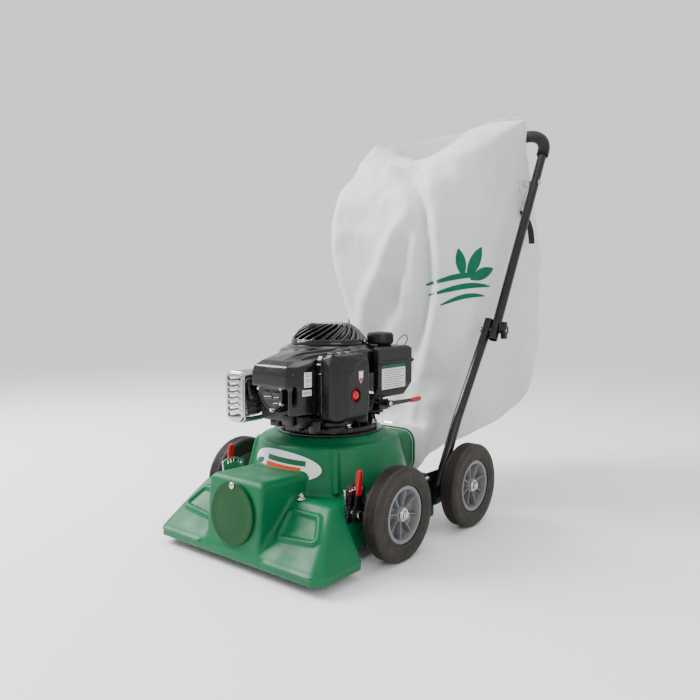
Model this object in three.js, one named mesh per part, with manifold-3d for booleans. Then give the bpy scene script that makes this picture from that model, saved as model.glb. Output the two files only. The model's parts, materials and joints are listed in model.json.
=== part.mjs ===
import * as THREE from 'three';
import { mergeVertices } from 'three/addons/utils/BufferGeometryUtils.js';
import { ConvexGeometry } from 'three/addons/geometries/ConvexGeometry.js';
import Module from 'manifold-3d';

// Walk-behind leaf vacuum. Millimetres, +Z up, front towards -Y.
// Inside the machine group y = 0 is the front axle and z = 0 is the ground.

const wasm = await Module();
wasm.setup();

// Driving dimensions
const FRONT_AXLE_Y = -322;
const WHEELBASE = 295;
const WHEEL_RADIUS = 101.6;
const WHEEL_WIDTH = 43;
const WHEEL_OUTER_X = 266;
const RIM_RADIUS = 63;
const TYRE_SIDES = 30;
const SPOKES = 8;
const AXLE_RADIUS = 6;

const GAP = 0.4;
const WALL = 3;

const NOZZLE = { halfWidth: 249, front: -260, rear: -126, bottom: 17, lip: 40, ledge: 140 };
const BULGE = { halfWidth: 82, front: -247, top: 186, tilt: THREE.MathUtils.degToRad(5) };
const DECK = { halfWidth: 188, rear: 232, bottom: 26, top: 134 };
const TURRET = { y: 56, topRadius: 165, baseRadius: 189, shoulder: 237, top: 250 };
const INLET = { z: 138.4, radius: 178, seat: 172, eye: 88 };
const COLLAR = { y: 268, z: 168, halfWidth: 92, halfHeight: 48, corner: 26 };

const PORT = { radius: 66, z: 112, hole: 52, thickness: 7, screwZ: 171 };

const PIVOT = { y: -86, z: 112 };
const LEVER_TIP = { y: -78, z: 204 };

const TUBE_RADIUS = 12;
const LOWER_TUBE_X = 205;
const UPPER_TUBE_X = LOWER_TUBE_X + 2 * TUBE_RADIUS + 0.6;
const FOLD = { y: 449, z: 475 };
const CROSSBAR = { y: 752, z: 1030 };
const BEND_RADIUS = 62;
const EYE_BOLT_Z = 880;

const FABRIC = 3;

const LOOKS = {
  green: { color: 0x0a7850, roughness: 0.38, metalness: 0 },
  darkGreen: { color: 0x04603c, roughness: 0.35, metalness: 0 },
  glossBlack: { color: 0x101010, roughness: 0.18, metalness: 0 },
  satinBlack: { color: 0x1c1c1c, roughness: 0.5, metalness: 0 },
  paintedBlack: { color: 0x141414, roughness: 0.4, metalness: 0.4 },
  castMetal: { color: 0x8d8f90, roughness: 0.5, metalness: 0.9 },
  steel: { color: 0xb9bbbd, roughness: 0.35, metalness: 1 },
  zinc: { color: 0xc6c8c4, roughness: 0.3, metalness: 1 },
  tyre: { color: 0x36342f, roughness: 0.8, metalness: 0 },
  greyPlastic: { color: 0x84878a, roughness: 0.5, metalness: 0 },
  foam: { color: 0x1a1a1a, roughness: 0.9, metalness: 0 },
  red: { color: 0xc80a14, roughness: 0.35, metalness: 0 },
  fabric: { color: 0xe6e8e8, roughness: 0.9, metalness: 0 },
};

// ---------- solids ----------

function signedVolume(positions, index) {
  const corner = (i) => new THREE.Vector3().fromArray(positions, 3 * index[i]);
  let sum = 0;
  for (let i = 0; i < index.length; i += 3) sum += corner(i).dot(corner(i + 1).cross(corner(i + 2)));
  return sum / 6;
}

// Closed body from any closed geometry, whichever way its outline was drawn
function solid(geometry) {
  const bare = geometry.index ? geometry.toNonIndexed() : geometry.clone();
  for (const name of Object.keys(bare.attributes)) {
    if (name !== 'position') bare.deleteAttribute(name);
  }
  const merged = mergeVertices(bare, 1e-3);
  const index = merged.index.array;
  const kept = [];
  for (let i = 0; i < index.length; i += 3) {
    const [a, b, c] = index.slice(i, i + 3);
    if (a !== b && b !== c && c !== a) kept.push(a, b, c);
  }
  const vertProperties = new Float32Array(merged.attributes.position.array);
  if (signedVolume(vertProperties, kept) < 0) kept.reverse();
  return new wasm.Manifold(new wasm.Mesh({ numProp: 3, vertProperties, triVerts: new Uint32Array(kept) }));
}

function surface(body) {
  const mesh = body.getMesh();
  const geometry = new THREE.BufferGeometry();
  geometry.setAttribute('position', new THREE.BufferAttribute(mesh.vertProperties, 3));
  geometry.setIndex(new THREE.BufferAttribute(mesh.triVerts, 1));
  geometry.computeVertexNormals();
  return geometry;
}

const join = (...bodies) => bodies.reduce((sum, body) => sum.add(body));
const cut = (base, ...tools) => tools.reduce((rest, tool) => rest.subtract(tool), base);

// Box from its lowest to its highest corner
function box(low, high) {
  const size = high.map((value, axis) => value - low[axis]);
  const geometry = new THREE.BoxGeometry(...size);
  geometry.translate(...low.map((value, axis) => value + size[axis] / 2));
  return solid(geometry);
}

function turnTo(geometry, axis) {
  if (axis === 'z') geometry.rotateX(Math.PI / 2);
  if (axis === 'x') geometry.rotateZ(-Math.PI / 2);
  return geometry;
}

// Cylinder along an axis, centred on the other two coordinates
function rod(axis, radius, from, to, centre = [0, 0, 0], sides = 12) {
  const geometry = new THREE.CylinderGeometry(radius, radius, to - from, sides);
  turnTo(geometry, axis);
  const place = [...centre];
  place['xyz'.indexOf(axis)] = (from + to) / 2;
  geometry.translate(...place);
  return solid(geometry);
}

// Body turned about an axis: outline is [radius, distance along the axis]
function turned(axis, outline, centre = [0, 0, 0], sides = 20) {
  const points = outline.map(([radius, along]) => new THREE.Vector2(radius, along));
  const geometry = turnTo(new THREE.LatheGeometry(points, sides), axis);
  geometry.translate(...centre);
  return solid(geometry);
}

const hull = (points) => solid(new ConvexGeometry(points.map((point) => new THREE.Vector3(...point))));

// Points mirrored to both sides of the centre plane
const bothSides = (points) => points.flatMap(([x, y, z]) => [[x, y, z], [-x, y, z]]);

// Flat plate whose outline is [y, z], lying between two x values
function sidePlate(outline, from, to) {
  const shape = new THREE.Shape(outline.map(([y, z]) => new THREE.Vector2(y, z)));
  const geometry = new THREE.ExtrudeGeometry(shape, { depth: to - from, bevelEnabled: false });
  geometry.applyMatrix4(new THREE.Matrix4().makeBasis(
    new THREE.Vector3(0, 1, 0), new THREE.Vector3(0, 0, 1), new THREE.Vector3(1, 0, 0)));
  geometry.translate(from, 0, 0);
  return solid(geometry);
}

// Body whose outline is [x, z], lying between two y values
function frontPlate(outline, from, to) {
  const shape = new THREE.Shape(outline.map(([x, z]) => new THREE.Vector2(x, z)));
  const geometry = new THREE.ExtrudeGeometry(shape, { depth: to - from, bevelEnabled: false });
  geometry.rotateX(Math.PI / 2);
  geometry.translate(0, to, 0);
  return solid(geometry);
}

function roundedOutline(halfWidth, halfHeight, corner, x = 0, z = 0, steps = 5) {
  const points = [];
  for (let quarter = 0; quarter < 4; quarter += 1) {
    const cx = x + (quarter === 0 || quarter === 3 ? 1 : -1) * (halfWidth - corner);
    const cz = z + (quarter < 2 ? 1 : -1) * (halfHeight - corner);
    for (let step = 0; step <= steps; step += 1) {
      const angle = (quarter + step / steps) * Math.PI / 2;
      points.push([cx + corner * Math.cos(angle), cz + corner * Math.sin(angle)]);
    }
  }
  return points;
}

const roundedBar = (halfWidth, halfHeight, corner, from, to, x = 0, z = 0) =>
  frontPlate(roundedOutline(halfWidth, halfHeight, corner, x, z), from, to);

// A route of straight runs whose rings stand exactly on its points
class Route extends THREE.Curve {
  constructor(points) {
    super();
    this.points = points;
  }

  getSpacedPoints() {
    return this.points;
  }

  getTangentAt(u, target = new THREE.Vector3()) {
    const last = this.points.length - 1;
    const i = Math.round(u * last);
    const before = this.points[Math.max(i - 1, 0)];
    const after = this.points[Math.min(i + 1, last)];
    return target.copy(after).sub(before).normalize();
  }
}

// Corners of a route, rounded by arcs
function rounded(corners, radius, steps = 6) {
  const points = corners.map((corner) => new THREE.Vector3(...corner));
  const route = [points[0]];
  for (let i = 1; i < points.length - 1; i += 1) {
    const back = points[i - 1].clone().sub(points[i]).normalize();
    const ahead = points[i + 1].clone().sub(points[i]).normalize();
    const half = back.angleTo(ahead) / 2;
    const reach = radius / Math.tan(half);
    const start = points[i].clone().addScaledVector(back, reach);
    const end = points[i].clone().addScaledVector(ahead, reach);
    const centre = back.clone().add(ahead).normalize().multiplyScalar(radius / Math.sin(half)).add(points[i]);
    const sweep = Math.PI - 2 * half;
    const from = start.clone().sub(centre);
    const axis = from.clone().cross(end.clone().sub(centre)).normalize();
    for (let step = 0; step <= steps; step += 1) {
      route.push(from.clone().applyAxisAngle(axis, sweep * step / steps).add(centre));
    }
  }
  route.push(points.at(-1));
  return route;
}

function sweep(points, radius, sides = 10) {
  const route = new Route(points.map((point) => (point.isVector3 ? point : new THREE.Vector3(...point))));
  const ring = new THREE.Shape();
  ring.absarc(0, 0, radius, 0, 2 * Math.PI);
  const section = new THREE.Shape(ring.getSpacedPoints(sides).slice(0, sides));
  return solid(new THREE.ExtrudeGeometry(section, { steps: points.length - 1, extrudePath: route }));
}

// Closed skin through rings that all have the same number of points
function loft(rings) {
  const count = rings[0].length;
  const positions = rings.flat().flatMap((point) => point);
  const index = [];
  for (let ring = 0; ring < rings.length - 1; ring += 1) {
    for (let i = 0; i < count; i += 1) {
      const a = ring * count + i;
      const b = ring * count + (i + 1) % count;
      index.push(a, b, b + count, a, b + count, a + count);
    }
  }
  for (const [ring, flip] of [[0, true], [rings.length - 1, false]]) {
    const centre = positions.length / 3;
    const sum = rings[ring].reduce((total, point) => total.map((value, axis) => value + point[axis]), [0, 0, 0]);
    positions.push(...sum.map((value) => value / count));
    for (let i = 0; i < count; i += 1) {
      const a = ring * count + i;
      const b = ring * count + (i + 1) % count;
      index.push(...(flip ? [b, a, centre] : [a, b, centre]));
    }
  }
  const geometry = new THREE.BufferGeometry();
  geometry.setAttribute('position', new THREE.Float32BufferAttribute(positions, 3));
  geometry.setIndex(index);
  return solid(geometry);
}

// ---------- scene graph ----------

const machine = new THREE.Group();
machine.position.set(0, FRONT_AXLE_Y, 0);

function add(name, body, look, group = machine) {
  const mesh = new THREE.Mesh(surface(body), new THREE.MeshStandardMaterial(LOOKS[look]));
  mesh.name = name;
  group.add(mesh);
  return mesh;
}

function groupAt(x, y, z, parent = machine) {
  const group = new THREE.Group();
  group.position.set(x, y, z);
  parent.add(group);
  return group;
}

const SIDES = [['right', 1], ['left', -1]];
const mirrored = (body, side) => (side > 0 ? body : body.mirror([1, 0, 0]));

// ---------- housing ----------

// Hood over the mouth: lip, front slope, side slopes and ledge, moved in by a wall thickness
function hood(inset) {
  const n = NOZZLE;
  const half = n.halfWidth - inset;
  const lipTop = n.lip - inset / 2;
  const ledge = n.ledge - inset;
  const front = n.front + inset;
  const rear = n.rear - inset;
  const floor = inset > 0 ? n.bottom - 10 : n.bottom;
  return hull(bothSides([
    [half - 18, front, floor], [half, front + 18, floor], [half, rear, floor],
    [half - 20, front + 3, lipTop], [half - 2, front + 20, lipTop], [half - 2, rear, lipTop],
    [192 - inset, -157 + inset / 2, ledge], [190 - inset, rear, ledge],
  ]));
}

function bulge(inset) {
  const b = BULGE;
  const lean = (z) => b.front + (z - PORT.z) * Math.tan(b.tilt) + inset;
  const half = b.halfWidth - inset;
  const top = b.top - inset;
  return hull(bothSides([
    [half, lean(30), 30], [half, lean(top - 12), top - 12], [half - 10, lean(top - 12) + 10, top],
    [half - 10, -90, top - 4], [half, -90, top - 14], [half, -90, 30],
  ]));
}

function turret(inset) {
  const t = TURRET;
  const floor = inset > 0 ? 138 : 132;
  return turned('z', [
    [0, floor], [t.baseRadius - inset, floor], [t.baseRadius - inset, 142], [t.topRadius - inset + 2, 224],
    [t.topRadius - inset - 2, t.shoulder - inset / 2], [t.topRadius - inset - 10, 243 - inset],
    [138 - inset, 244 - inset], [132 - inset, t.top - inset], [0, t.top - inset],
  ], [0, t.y, 0], 32);
}

function chute(inset) {
  const c = COLLAR;
  const half = c.halfWidth + 4 - inset;
  const low = c.z - c.halfHeight - 4 + inset;
  const high = c.z + c.halfHeight + 4 - inset;
  const rear = inset > 0 ? c.y + 20 : c.y;
  return hull(bothSides([
    [half, 130, low], [half, 130, high], [half, rear, low + 14], [half - 14, rear, low],
    [half, rear, high - 14], [half - 14, rear, high],
  ]));
}

function deck(inset) {
  const d = DECK;
  const half = d.halfWidth - inset;
  const floor = inset > 0 ? d.bottom - 10 : d.bottom;
  return hull(bothSides([
    [half, -150, floor], [half, d.rear - inset, floor], [half, -150, d.top - 8], [half - 8, -150, d.top - inset],
    [half, d.rear - inset, d.top - 14], [half - 10, d.rear - 10 - inset, d.top - inset],
  ]));
}

const portFacing = new THREE.Matrix4().makeRotationX(-BULGE.tilt);

// Rod along the port's own axis, which leans back with the bulge's face
function portRod(radius, from, to, z, sides) {
  const geometry = new THREE.CylinderGeometry(radius, radius, to - from, sides);
  geometry.translate(0, -(from + to) / 2, 0);
  geometry.applyMatrix4(portFacing);
  geometry.translate(0, BULGE.front + (z - PORT.z) * Math.tan(BULGE.tilt), z);
  return solid(geometry);
}

// Raised border round each wing's panel
function wingBorder(side) {
  const lean = Math.atan2(NOZZLE.ledge - NOZZLE.lip, 100);
  const outer = new THREE.Shape([[-42, -32], [44, -44], [36, 34], [-34, 38]].map((p) => new THREE.Vector2(...p)));
  const inner = new THREE.Path([[-34, -25], [36, -35], [29, 27], [-28, 30]].map((p) => new THREE.Vector2(...p)));
  outer.holes.push(inner);
  const geometry = new THREE.ExtrudeGeometry(outer, { depth: 8, bevelEnabled: false });
  geometry.translate(0, 0, -5);
  geometry.rotateX(lean);
  geometry.translate(132, -206.5, 96);
  return mirrored(solid(geometry), side);
}

function nozzleHousing() {
  const outside = join(hood(0), bulge(0), deck(0), turret(0), chute(0), wingBorder(1), wingBorder(-1),
    box([-14, TURRET.y - 186, 130], [14, TURRET.y - 150, 232]));
  const inside = join(hood(4), bulge(4), turret(4), chute(4), deck(4));
  const drain = box([-DECK.halfWidth + 4, -150, 10], [DECK.halfWidth - 4, DECK.rear - 4, 60]);
  const scallops = [];
  for (let x = -210; x <= 210; x += 35) {
    scallops.push(rod('y', 9, NOZZLE.front - 5, NOZZLE.front + 40, [x, 0, NOZZLE.bottom - 6], 8));
  }
  const holes = SIDES.flatMap(([, side]) => [
    rod('x', 5, side > 0 ? 150 : -210, side > 0 ? 210 : -150, [0, WHEELBASE, 120], 8),
    rod('z', 4.4, 120, 150, [side * 103, -150, 0], 8),
  ]);
  const throat = rod('z', INLET.seat, 120, INLET.z, [0, TURRET.y, 0], 24);
  return cut(outside, inside, drain, throat, ...scallops, ...holes, rod('z', 60, 236, 260, [0, TURRET.y, 0], 20),
    portRod(PORT.hole, -30, 20, PORT.z, 24), portRod(3.6, -18, 10, PORT.screwZ, 8));
}

// Ring that rests on the ledge between the deck and the turret, below the impeller
function inletPlate() {
  const plate = rod('z', INLET.radius, INLET.z, INLET.z + 3, [0, TURRET.y, 0], 24);
  return cut(plate, rod('z', INLET.eye, 130, 150, [0, TURRET.y, 0], 20));
}

function bottomPan() {
  const half = DECK.halfWidth - 4 - GAP;
  return join(box([-half, -118, 30], [half, DECK.rear - 4 - GAP, 33]),
    box([-half, -118, 33], [half, -115, 58]));
}

function discharge() {
  const c = COLLAR;
  const bar = (extra, from, to) =>
    roundedBar(c.halfWidth - GAP + extra, c.halfHeight - GAP + extra, c.corner + extra, from, to, 0, c.z);
  const tube = cut(bar(0, c.y - 40, c.y + 62), bar(-WALL, c.y - 50, c.y + 72));
  const flange = cut(bar(9, c.y + GAP, c.y + 6), bar(-WALL, c.y - 5, c.y + 10));
  return join(tube, flange);
}

add('nozzle_housing', nozzleHousing(), 'green');
add('impeller_inlet_plate', inletPlate(), 'paintedBlack');
add('bottom_pan', bottomPan(), 'paintedBlack');
add('discharge_collar', discharge(), 'paintedBlack');

for (const [name, side] of SIDES) {
  const nut = groupAt(side * 103, -150, NOZZLE.ledge + GAP);
  add(`deck_nut_${name}`, join(rod('z', 11, 0, 2), rod('z', 6.5, 1.9, 8, undefined, 6),
    rod('z', 3.6, -12, 12, undefined, 8)), 'zinc', nut);
}

const coverDisc = join(portRod(PORT.radius, GAP, 5, PORT.z, 32),
  portRod(PORT.radius - 5, 4.9, PORT.thickness, PORT.z, 32));
add('port_cover', cut(coverDisc, portRod(4, -5, 20, PORT.screwZ, 12)), 'darkGreen');
add('port_screw', join(portRod(3.2, -16, PORT.thickness + 1, PORT.screwZ, 8),
  portRod(7, PORT.thickness + GAP, PORT.thickness + 4, PORT.screwZ, 12)), 'zinc');

// ---------- wheels and height adjusters ----------

function tyreBody() {
  const rim = WHEEL_RADIUS / Math.cos(Math.PI / TYRE_SIDES);
  const half = WHEEL_WIDTH / 2;
  const body = turned('x', [
    [RIM_RADIUS, -half], [rim - 14, -half], [rim, -half + 12], [rim, half - 12], [rim - 14, half],
    [RIM_RADIUS, half], [RIM_RADIUS, -half],
  ], undefined, TYRE_SIDES);
  return body.rotate([180 / TYRE_SIDES, 0, 0]);
}

// Hub with its open face towards +x
function hubBody() {
  const outer = (RIM_RADIUS - GAP) * Math.cos(Math.PI / TYRE_SIDES);
  const shell = turned('x', [
    [AXLE_RADIUS + 0.6, -14], [17, -14], [17, -8], [outer, -16], [outer, 17], [outer - 7, 17],
    [outer - 9, -3], [17, -3], [17, 12], [AXLE_RADIUS + 0.6, 12], [AXLE_RADIUS + 0.6, -14],
  ], undefined, 24);
  const parts = [shell];
  for (let i = 0; i < SPOKES; i += 1) {
    const spoke = box([-6, -1.3, 15], [10, 1.3, outer - 6]);
    parts.push(spoke.rotate([360 * i / SPOKES, 0, 0]));
  }
  return join(...parts);
}

// Axle stub that leaves an arm or bracket outwards, with its washer and nut
function axle(from, y, z) {
  const hubOuter = WHEEL_OUTER_X - WHEEL_WIDTH / 2 + 12;
  return join(rod('x', AXLE_RADIUS, from, WHEEL_OUTER_X + 2, [0, y, z]),
    rod('x', 13, hubOuter + 1, hubOuter + 3, [0, y, z]),
    rod('x', 9.5, hubOuter + 2.9, hubOuter + 10, [0, y, z], 6));
}

const ARM = { inner: 198, outer: 203 };

function heightArm() {
  const plate = sidePlate([[PIVOT.y - 14, PIVOT.z - 12], [PIVOT.y + 10, PIVOT.z - 16], [12, WHEEL_RADIUS - 14],
    [16, WHEEL_RADIUS + 4], [6, WHEEL_RADIUS + 15], [PIVOT.y + 16, PIVOT.z + 16], [LEVER_TIP.y + 6, 162],
    [LEVER_TIP.y - 8, 162], [PIVOT.y - 12, PIVOT.z + 14]], ARM.inner, ARM.outer);
  const grip = hull([150, 172, LEVER_TIP.z - 3, LEVER_TIP.z].flatMap((z, i) => {
    const half = [6, 9, 9, 4][i];
    const thick = [3.5, 5.5, 5.5, 3][i];
    const y = PIVOT.y + 6 + (LEVER_TIP.y - PIVOT.y - 2) * (z - 150) / (LEVER_TIP.z - 150);
    return [[-thick, -half], [thick, -half], [thick, half], [-thick, half]]
      .map(([dx, dy]) => [(ARM.inner + ARM.outer) / 2 + dx, y + dy, z]);
  }));
  const body = join(plate, grip, axle(ARM.inner + 1, 0, WHEEL_RADIUS));
  return cut(body, rod('x', 5.6, 190, 210, [0, PIVOT.y, PIVOT.z]));
}

// Fixed plate with the pivot stud and a notched arc round it
function quadrant() {
  const arc = [];
  for (let degrees = 50; degrees <= 118; degrees += 68 / 7) {
    const angle = THREE.MathUtils.degToRad(degrees);
    arc.push([PIVOT.y + 62 * Math.cos(angle), PIVOT.z + 62 * Math.sin(angle)]);
  }
  const plate = sidePlate([[PIVOT.y - 22, PIVOT.z - 18], [PIVOT.y + 40, PIVOT.z - 18], ...arc],
    DECK.halfWidth + GAP, DECK.halfWidth + 4);
  const notches = [70, 84, 98, 112].map((degrees) => {
    const angle = THREE.MathUtils.degToRad(degrees);
    return rod('x', 4, 180, 196, [0, PIVOT.y + 60 * Math.cos(angle), PIVOT.z + 60 * Math.sin(angle)], 6);
  });
  return join(cut(plate, ...notches), rod('x', 5, 190, 209, [0, PIVOT.y, PIVOT.z]),
    rod('x', 9, 190, ARM.inner - 0.5, [0, PIVOT.y, PIVOT.z]),
    rod('x', 8, ARM.outer + 0.5, 209, [0, PIVOT.y, PIVOT.z], 6));
}

function rearBracket() {
  const inner = DECK.halfWidth + GAP;
  const plate = sidePlate([[176, 62], [256, 58], [WHEELBASE + 14, 84], [WHEELBASE + 18, 112], [WHEELBASE + 2, 124],
    [262, 140], [186, 140], [172, 118]], inner, inner + 3.6);
  return join(plate, axle(inner + 1, WHEELBASE, WHEEL_RADIUS),
    rod('x', 11, inner + 1, 220, [0, WHEELBASE, WHEEL_RADIUS]));
}

for (const [place, y] of [['front', 0], ['rear', WHEELBASE]]) {
  for (const [name, side] of SIDES) {
    const wheel = groupAt(side * (WHEEL_OUTER_X - WHEEL_WIDTH / 2), y, WHEEL_RADIUS);
    add(`tyre_${place}_${name}`, tyreBody(), 'tyre', wheel);
    add(`hub_${place}_${name}`, mirrored(hubBody(), side), 'greyPlastic', wheel);
  }
}
for (const [name, side] of SIDES) {
  add(`height_arm_${name}`, mirrored(heightArm(), side), 'zinc');
  add(`height_quadrant_${name}`, mirrored(quadrant(), side), 'paintedBlack');
  add(`rear_bracket_${name}`, mirrored(rearBracket(), side), 'paintedBlack');
}

// ---------- impeller and crankshaft ----------

const rotor = groupAt(0, TURRET.y, 0);

function impeller() {
  const parts = [turned('z', [[AXLE_RADIUS + 6.6, 162], [26, 162], [26, 216], [140, 222], [140, 226],
    [AXLE_RADIUS + 6.6, 226], [AXLE_RADIUS + 6.6, 162]], undefined, 24)];
  for (let i = 0; i < 6; i += 1) {
    parts.push(box([20, -2, 164], [132, 2, 223]).rotate([0, 0, 60 * i]));
  }
  return join(...parts);
}

add('impeller', impeller(), 'paintedBlack', rotor);
add('impeller_bolt', join(rod('z', 22, 157.6, 161.6), rod('z', 9, 150, 157.7, undefined, 6)),
  'zinc', rotor);
add('crankshaft', rod('z', 12, 162, 440), 'steel', rotor);

function flywheel() {
  const parts = [turned('z', [[12.4, 396], [88, 396], [88, 420], [12.4, 424], [12.4, 396]], undefined, 24)];
  for (let i = 0; i < 12; i += 1) {
    parts.push(box([46, -1.5, 418], [84, 1.5, 430]).rotate([0, 0, 30 * i]));
  }
  return join(...parts);
}

add('flywheel', flywheel(), 'castMetal', rotor);

// ---------- engine ----------

const engine = groupAt(0, TURRET.y, 0);
const SHAFT_BORE = 14;
const CAP = { x: 84, y: 90 };

add('engine_plate', cut(rod('z', 124, TURRET.top + GAP, TURRET.top + 4, undefined, 24),
  rod('z', 40, 240, 260)), 'paintedBlack', engine);

add('crankcase', turned('z', [[SHAFT_BORE, 254.4], [116, 254.4], [116, 266], [98, 272], [98, 330], [88, 340],
  [88, 372], [SHAFT_BORE, 372], [SHAFT_BORE, 254.4]], undefined, 24), 'castMetal', engine);

function cylinder() {
  const parts = [box([-44, -150, 286], [44, -60, 364])];
  for (let i = 0; i < 5; i += 1) {
    parts.push(box([-52, -146 + 12 * i, 280], [52, -142 + 12 * i, 367]));
  }
  return cut(join(...parts), rod('z', 98.6, 270, 400, undefined, 24));
}

add('cylinder', cylinder(), 'castMetal', engine);

const head = cut(box([-56, -166, 288], [52, -150 - GAP, 366]), rod('y', 6, -170, -158, [-47, 0, 342]));
add('cylinder_head', head, 'castMetal', engine);

add('valve_cover', hull([
  ...[[-38, 352], [-30, 372], [40, 374], [47, 366], [46, 330], [22, 312], [6, 312]]
    .flatMap(([x, z]) => [[x, -166.4, z], [x, -196, z]]),
  ...[[-32, 352], [-26, 367], [37, 369], [42, 364], [41, 332], [20, 316], [8, 316]].map(([x, z]) => [x, -203, z]),
]), 'glossBlack', engine);

add('spark_plug', turned('y', [[0, 6], [5.4, 6], [5.4, -GAP], [9, -GAP], [9, -9], [7, -10], [6, -30], [3, -31],
  [3, -38], [0, -38]], [-47, -166.4, 342], 10), 'steel', engine);

add('muffler', join(box([-90, -206, 296], [-66, -154, 380]), rod('x', 10, -70, -56.4, [0, -159, 338])),
  'steel', engine);

function mufflerGuard() {
  const shell = cut(roundedBar(32, 58, 18, -217, -150, -92, 338), roundedBar(30, 56, 16, -215, -140, -92, 338),
    box([-62.5, -212, 270], [-50, -140, 400]));
  const slots = [];
  for (let i = 0; i < 7; i += 1) {
    const z = 296 + 14 * i;
    slots.push(box([-112, -220, z - 4.5], [-70, -210, z + 4.5]), box([-130, -208, z - 4.5], [-118, -160, z + 4.5]));
  }
  return cut(shell, ...slots);
}

add('muffler_guard', mufflerGuard(), 'steel', engine);

// Blower housing: a drum round the flywheel with a nose over the cylinder
function blower(inset) {
  const ring = [];
  for (let i = 0; i < 20; i += 1) {
    const angle = i * Math.PI / 10;
    for (const [radius, z] of [[120, 386], [120, 428], [110, 444], [92, 452]]) {
      const r = radius - inset;
      ring.push([r * Math.cos(angle), r * Math.sin(angle), z - (z > 430 ? inset : 0)]);
    }
  }
  const nose = [];
  for (const [z, out] of [[368, 0], [410, 0], [420, 10]]) {
    for (const [x, y] of [[-54, -196], [-36, -214], [70, -215], [86, -202], [92, -180]]) {
      nose.push([x - Math.sign(x) * (inset + out / 2), y + inset + out, z - (z > 415 ? inset : 0)]);
    }
  }
  const body = hull([...ring, ...nose]);
  return cut(body, box([96 - inset, -230, 300], [140, -40, 460]), box([-140, -230, 300], [inset - 57, -140, 460]),
    rod('z', 34 + inset, 436 - inset, 470, [CAP.x, CAP.y, 0], 20));
}

function blowerHousing() {
  const below = hull([[-130, 130, 300], [130, 130, 300], [-130, -40, 300], [130, -40, 300], [-130, 130, 388],
    [130, 130, 388], [-130, -40, 388], [130, -40, 388]]);
  const sheet = (side, front, low, high) => [low, high].flatMap((z) => [
    [side, -150, z], [side, -100, z], [side - 5, -180, z], [side - 10, front + 8, z], [70, front, z], [70, -100, z],
  ]);
  const skirt = cut(hull(sheet(96, -212, 308, 400)), hull(sheet(93, -208, 300, 410)),
    box([40, -215, 300], [69, -90, 400]));
  const cavity = blower(WALL);
  const open = box([-50, -210, 350], [86, -100, 372]);
  return cut(join(blower(0), skirt), cavity, below, open, rod('z', 76, 430, 470, undefined, 20),
    box([40, -205, 300], [80, -100, 400]));
}

add('blower_housing', blowerHousing(), 'glossBlack', engine);

const ROPE = { y: 34, z: 463, radius: 2 };

function starterCover() {
  const dome = turned('z', [[90, 452.4], [90, 458], [86, 460], [82, 470], [70, 486], [48, 497], [20, 499], [0, 499],
    [0, 496], [20, 496], [46, 494], [67, 484], [79, 469], [82, 458], [84, 452.4], [90, 452.4]],
  undefined, 24);
  const post = rod('z', 5, 454, 497);
  return cut(join(dome, post), rod('x', 4.5, -100, -60, [0, ROPE.y, ROPE.z], 12));
}

add('starter_cover', starterCover(), 'glossBlack', engine);

add('starter_pulley', turned('z', [[5.5, 458], [36, 458], [36, 460], [31, 460.5], [31, 465.5], [36, 466], [36, 468],
  [5.5, 468], [5.5, 458]], undefined, 16), 'satinBlack', engine);

const grip = join(hull([[-9, -20, -6], [-9, 20, -6], [9, -20, -6], [9, 20, -6], [-9, -20, 6], [-9, 20, 6],
  [9, -20, 6], [9, 20, 6], [-4, -26, -3], [-4, 26, -3], [-4, -26, 3], [-4, 26, 3]]),
  rod('x', ROPE.radius, 0, 168, undefined, 8));
add('starter_grip', grip, 'satinBlack', groupAt(-108, ROPE.y, ROPE.z, engine));

// Air filter on the right, beside the cylinder
add('air_filter_base', hull([
  [96.4, -150, 308], [111.6, -150, 304], [96.4, -64, 308], [111.6, -64, 304],
  [96.4, -150, 428], [104, -146, 437], [111.6, -146, 437], [96.4, -64, 428], [104, -66, 437], [111.6, -66, 437],
]), 'glossBlack', engine);

const PRIMER = { y: -101, z: 352 };

function filterCover() {
  const body = hull([
    [112, -150, 300], [112, -150, 434], [112, -65, 298], [112, -65, 438],
    [140, -155, 306], [140, -155, 422], [150, -150, 296], [138, -144, 440],
    [160, -144, 298], [160, -142, 418], [152, -126, 438], [152, -58, 441],
    [165, -124, 302], [165, -56, 304], [165, -124, 408], [165, -54, 424], [150, -54, 293], [140, -54, 440],
  ]);
  const tabs = [-134, -106, -78].map((y) => box([118, y - 8, 430], [138, y + 8, 444]));
  return cut(join(body, ...tabs), rod('x', 17, 150, 170, [0, PRIMER.y, PRIMER.z], 16));
}

add('air_filter_cover', filterCover(), 'satinBlack', engine);
add('primer_bulb', turned('x', [[0, 157.4], [13, 157.4], [13, 160.4], [11, 161], [10, 165], [6, 168], [0, 169]],
  [0, PRIMER.y, PRIMER.z], 12), 'red', engine);

add('carburetor', join(box([101, -54, 300], [126, 12, 334]), rod('x', 17, 104, 134, [0, -22, 304]),
  rod('y', 12, -60, 10, [113, 0, 314]), box([101, -4, 286], [110, 14, 302])), 'castMetal', engine);

const THROTTLE = { x: 142, y: 47, z: 315 };

add('throttle_bracket', join(box([102, 26, 290], [130, 30, 324]), box([126, 26, 300], [130, 62, 324]),
  rod('x', 3, 129, 148, [0, THROTTLE.y, THROTTLE.z], 12),
  rod('x', 6, 129, 140.6, [0, THROTTLE.y, THROTTLE.z], 12)), 'paintedBlack', engine);

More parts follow.
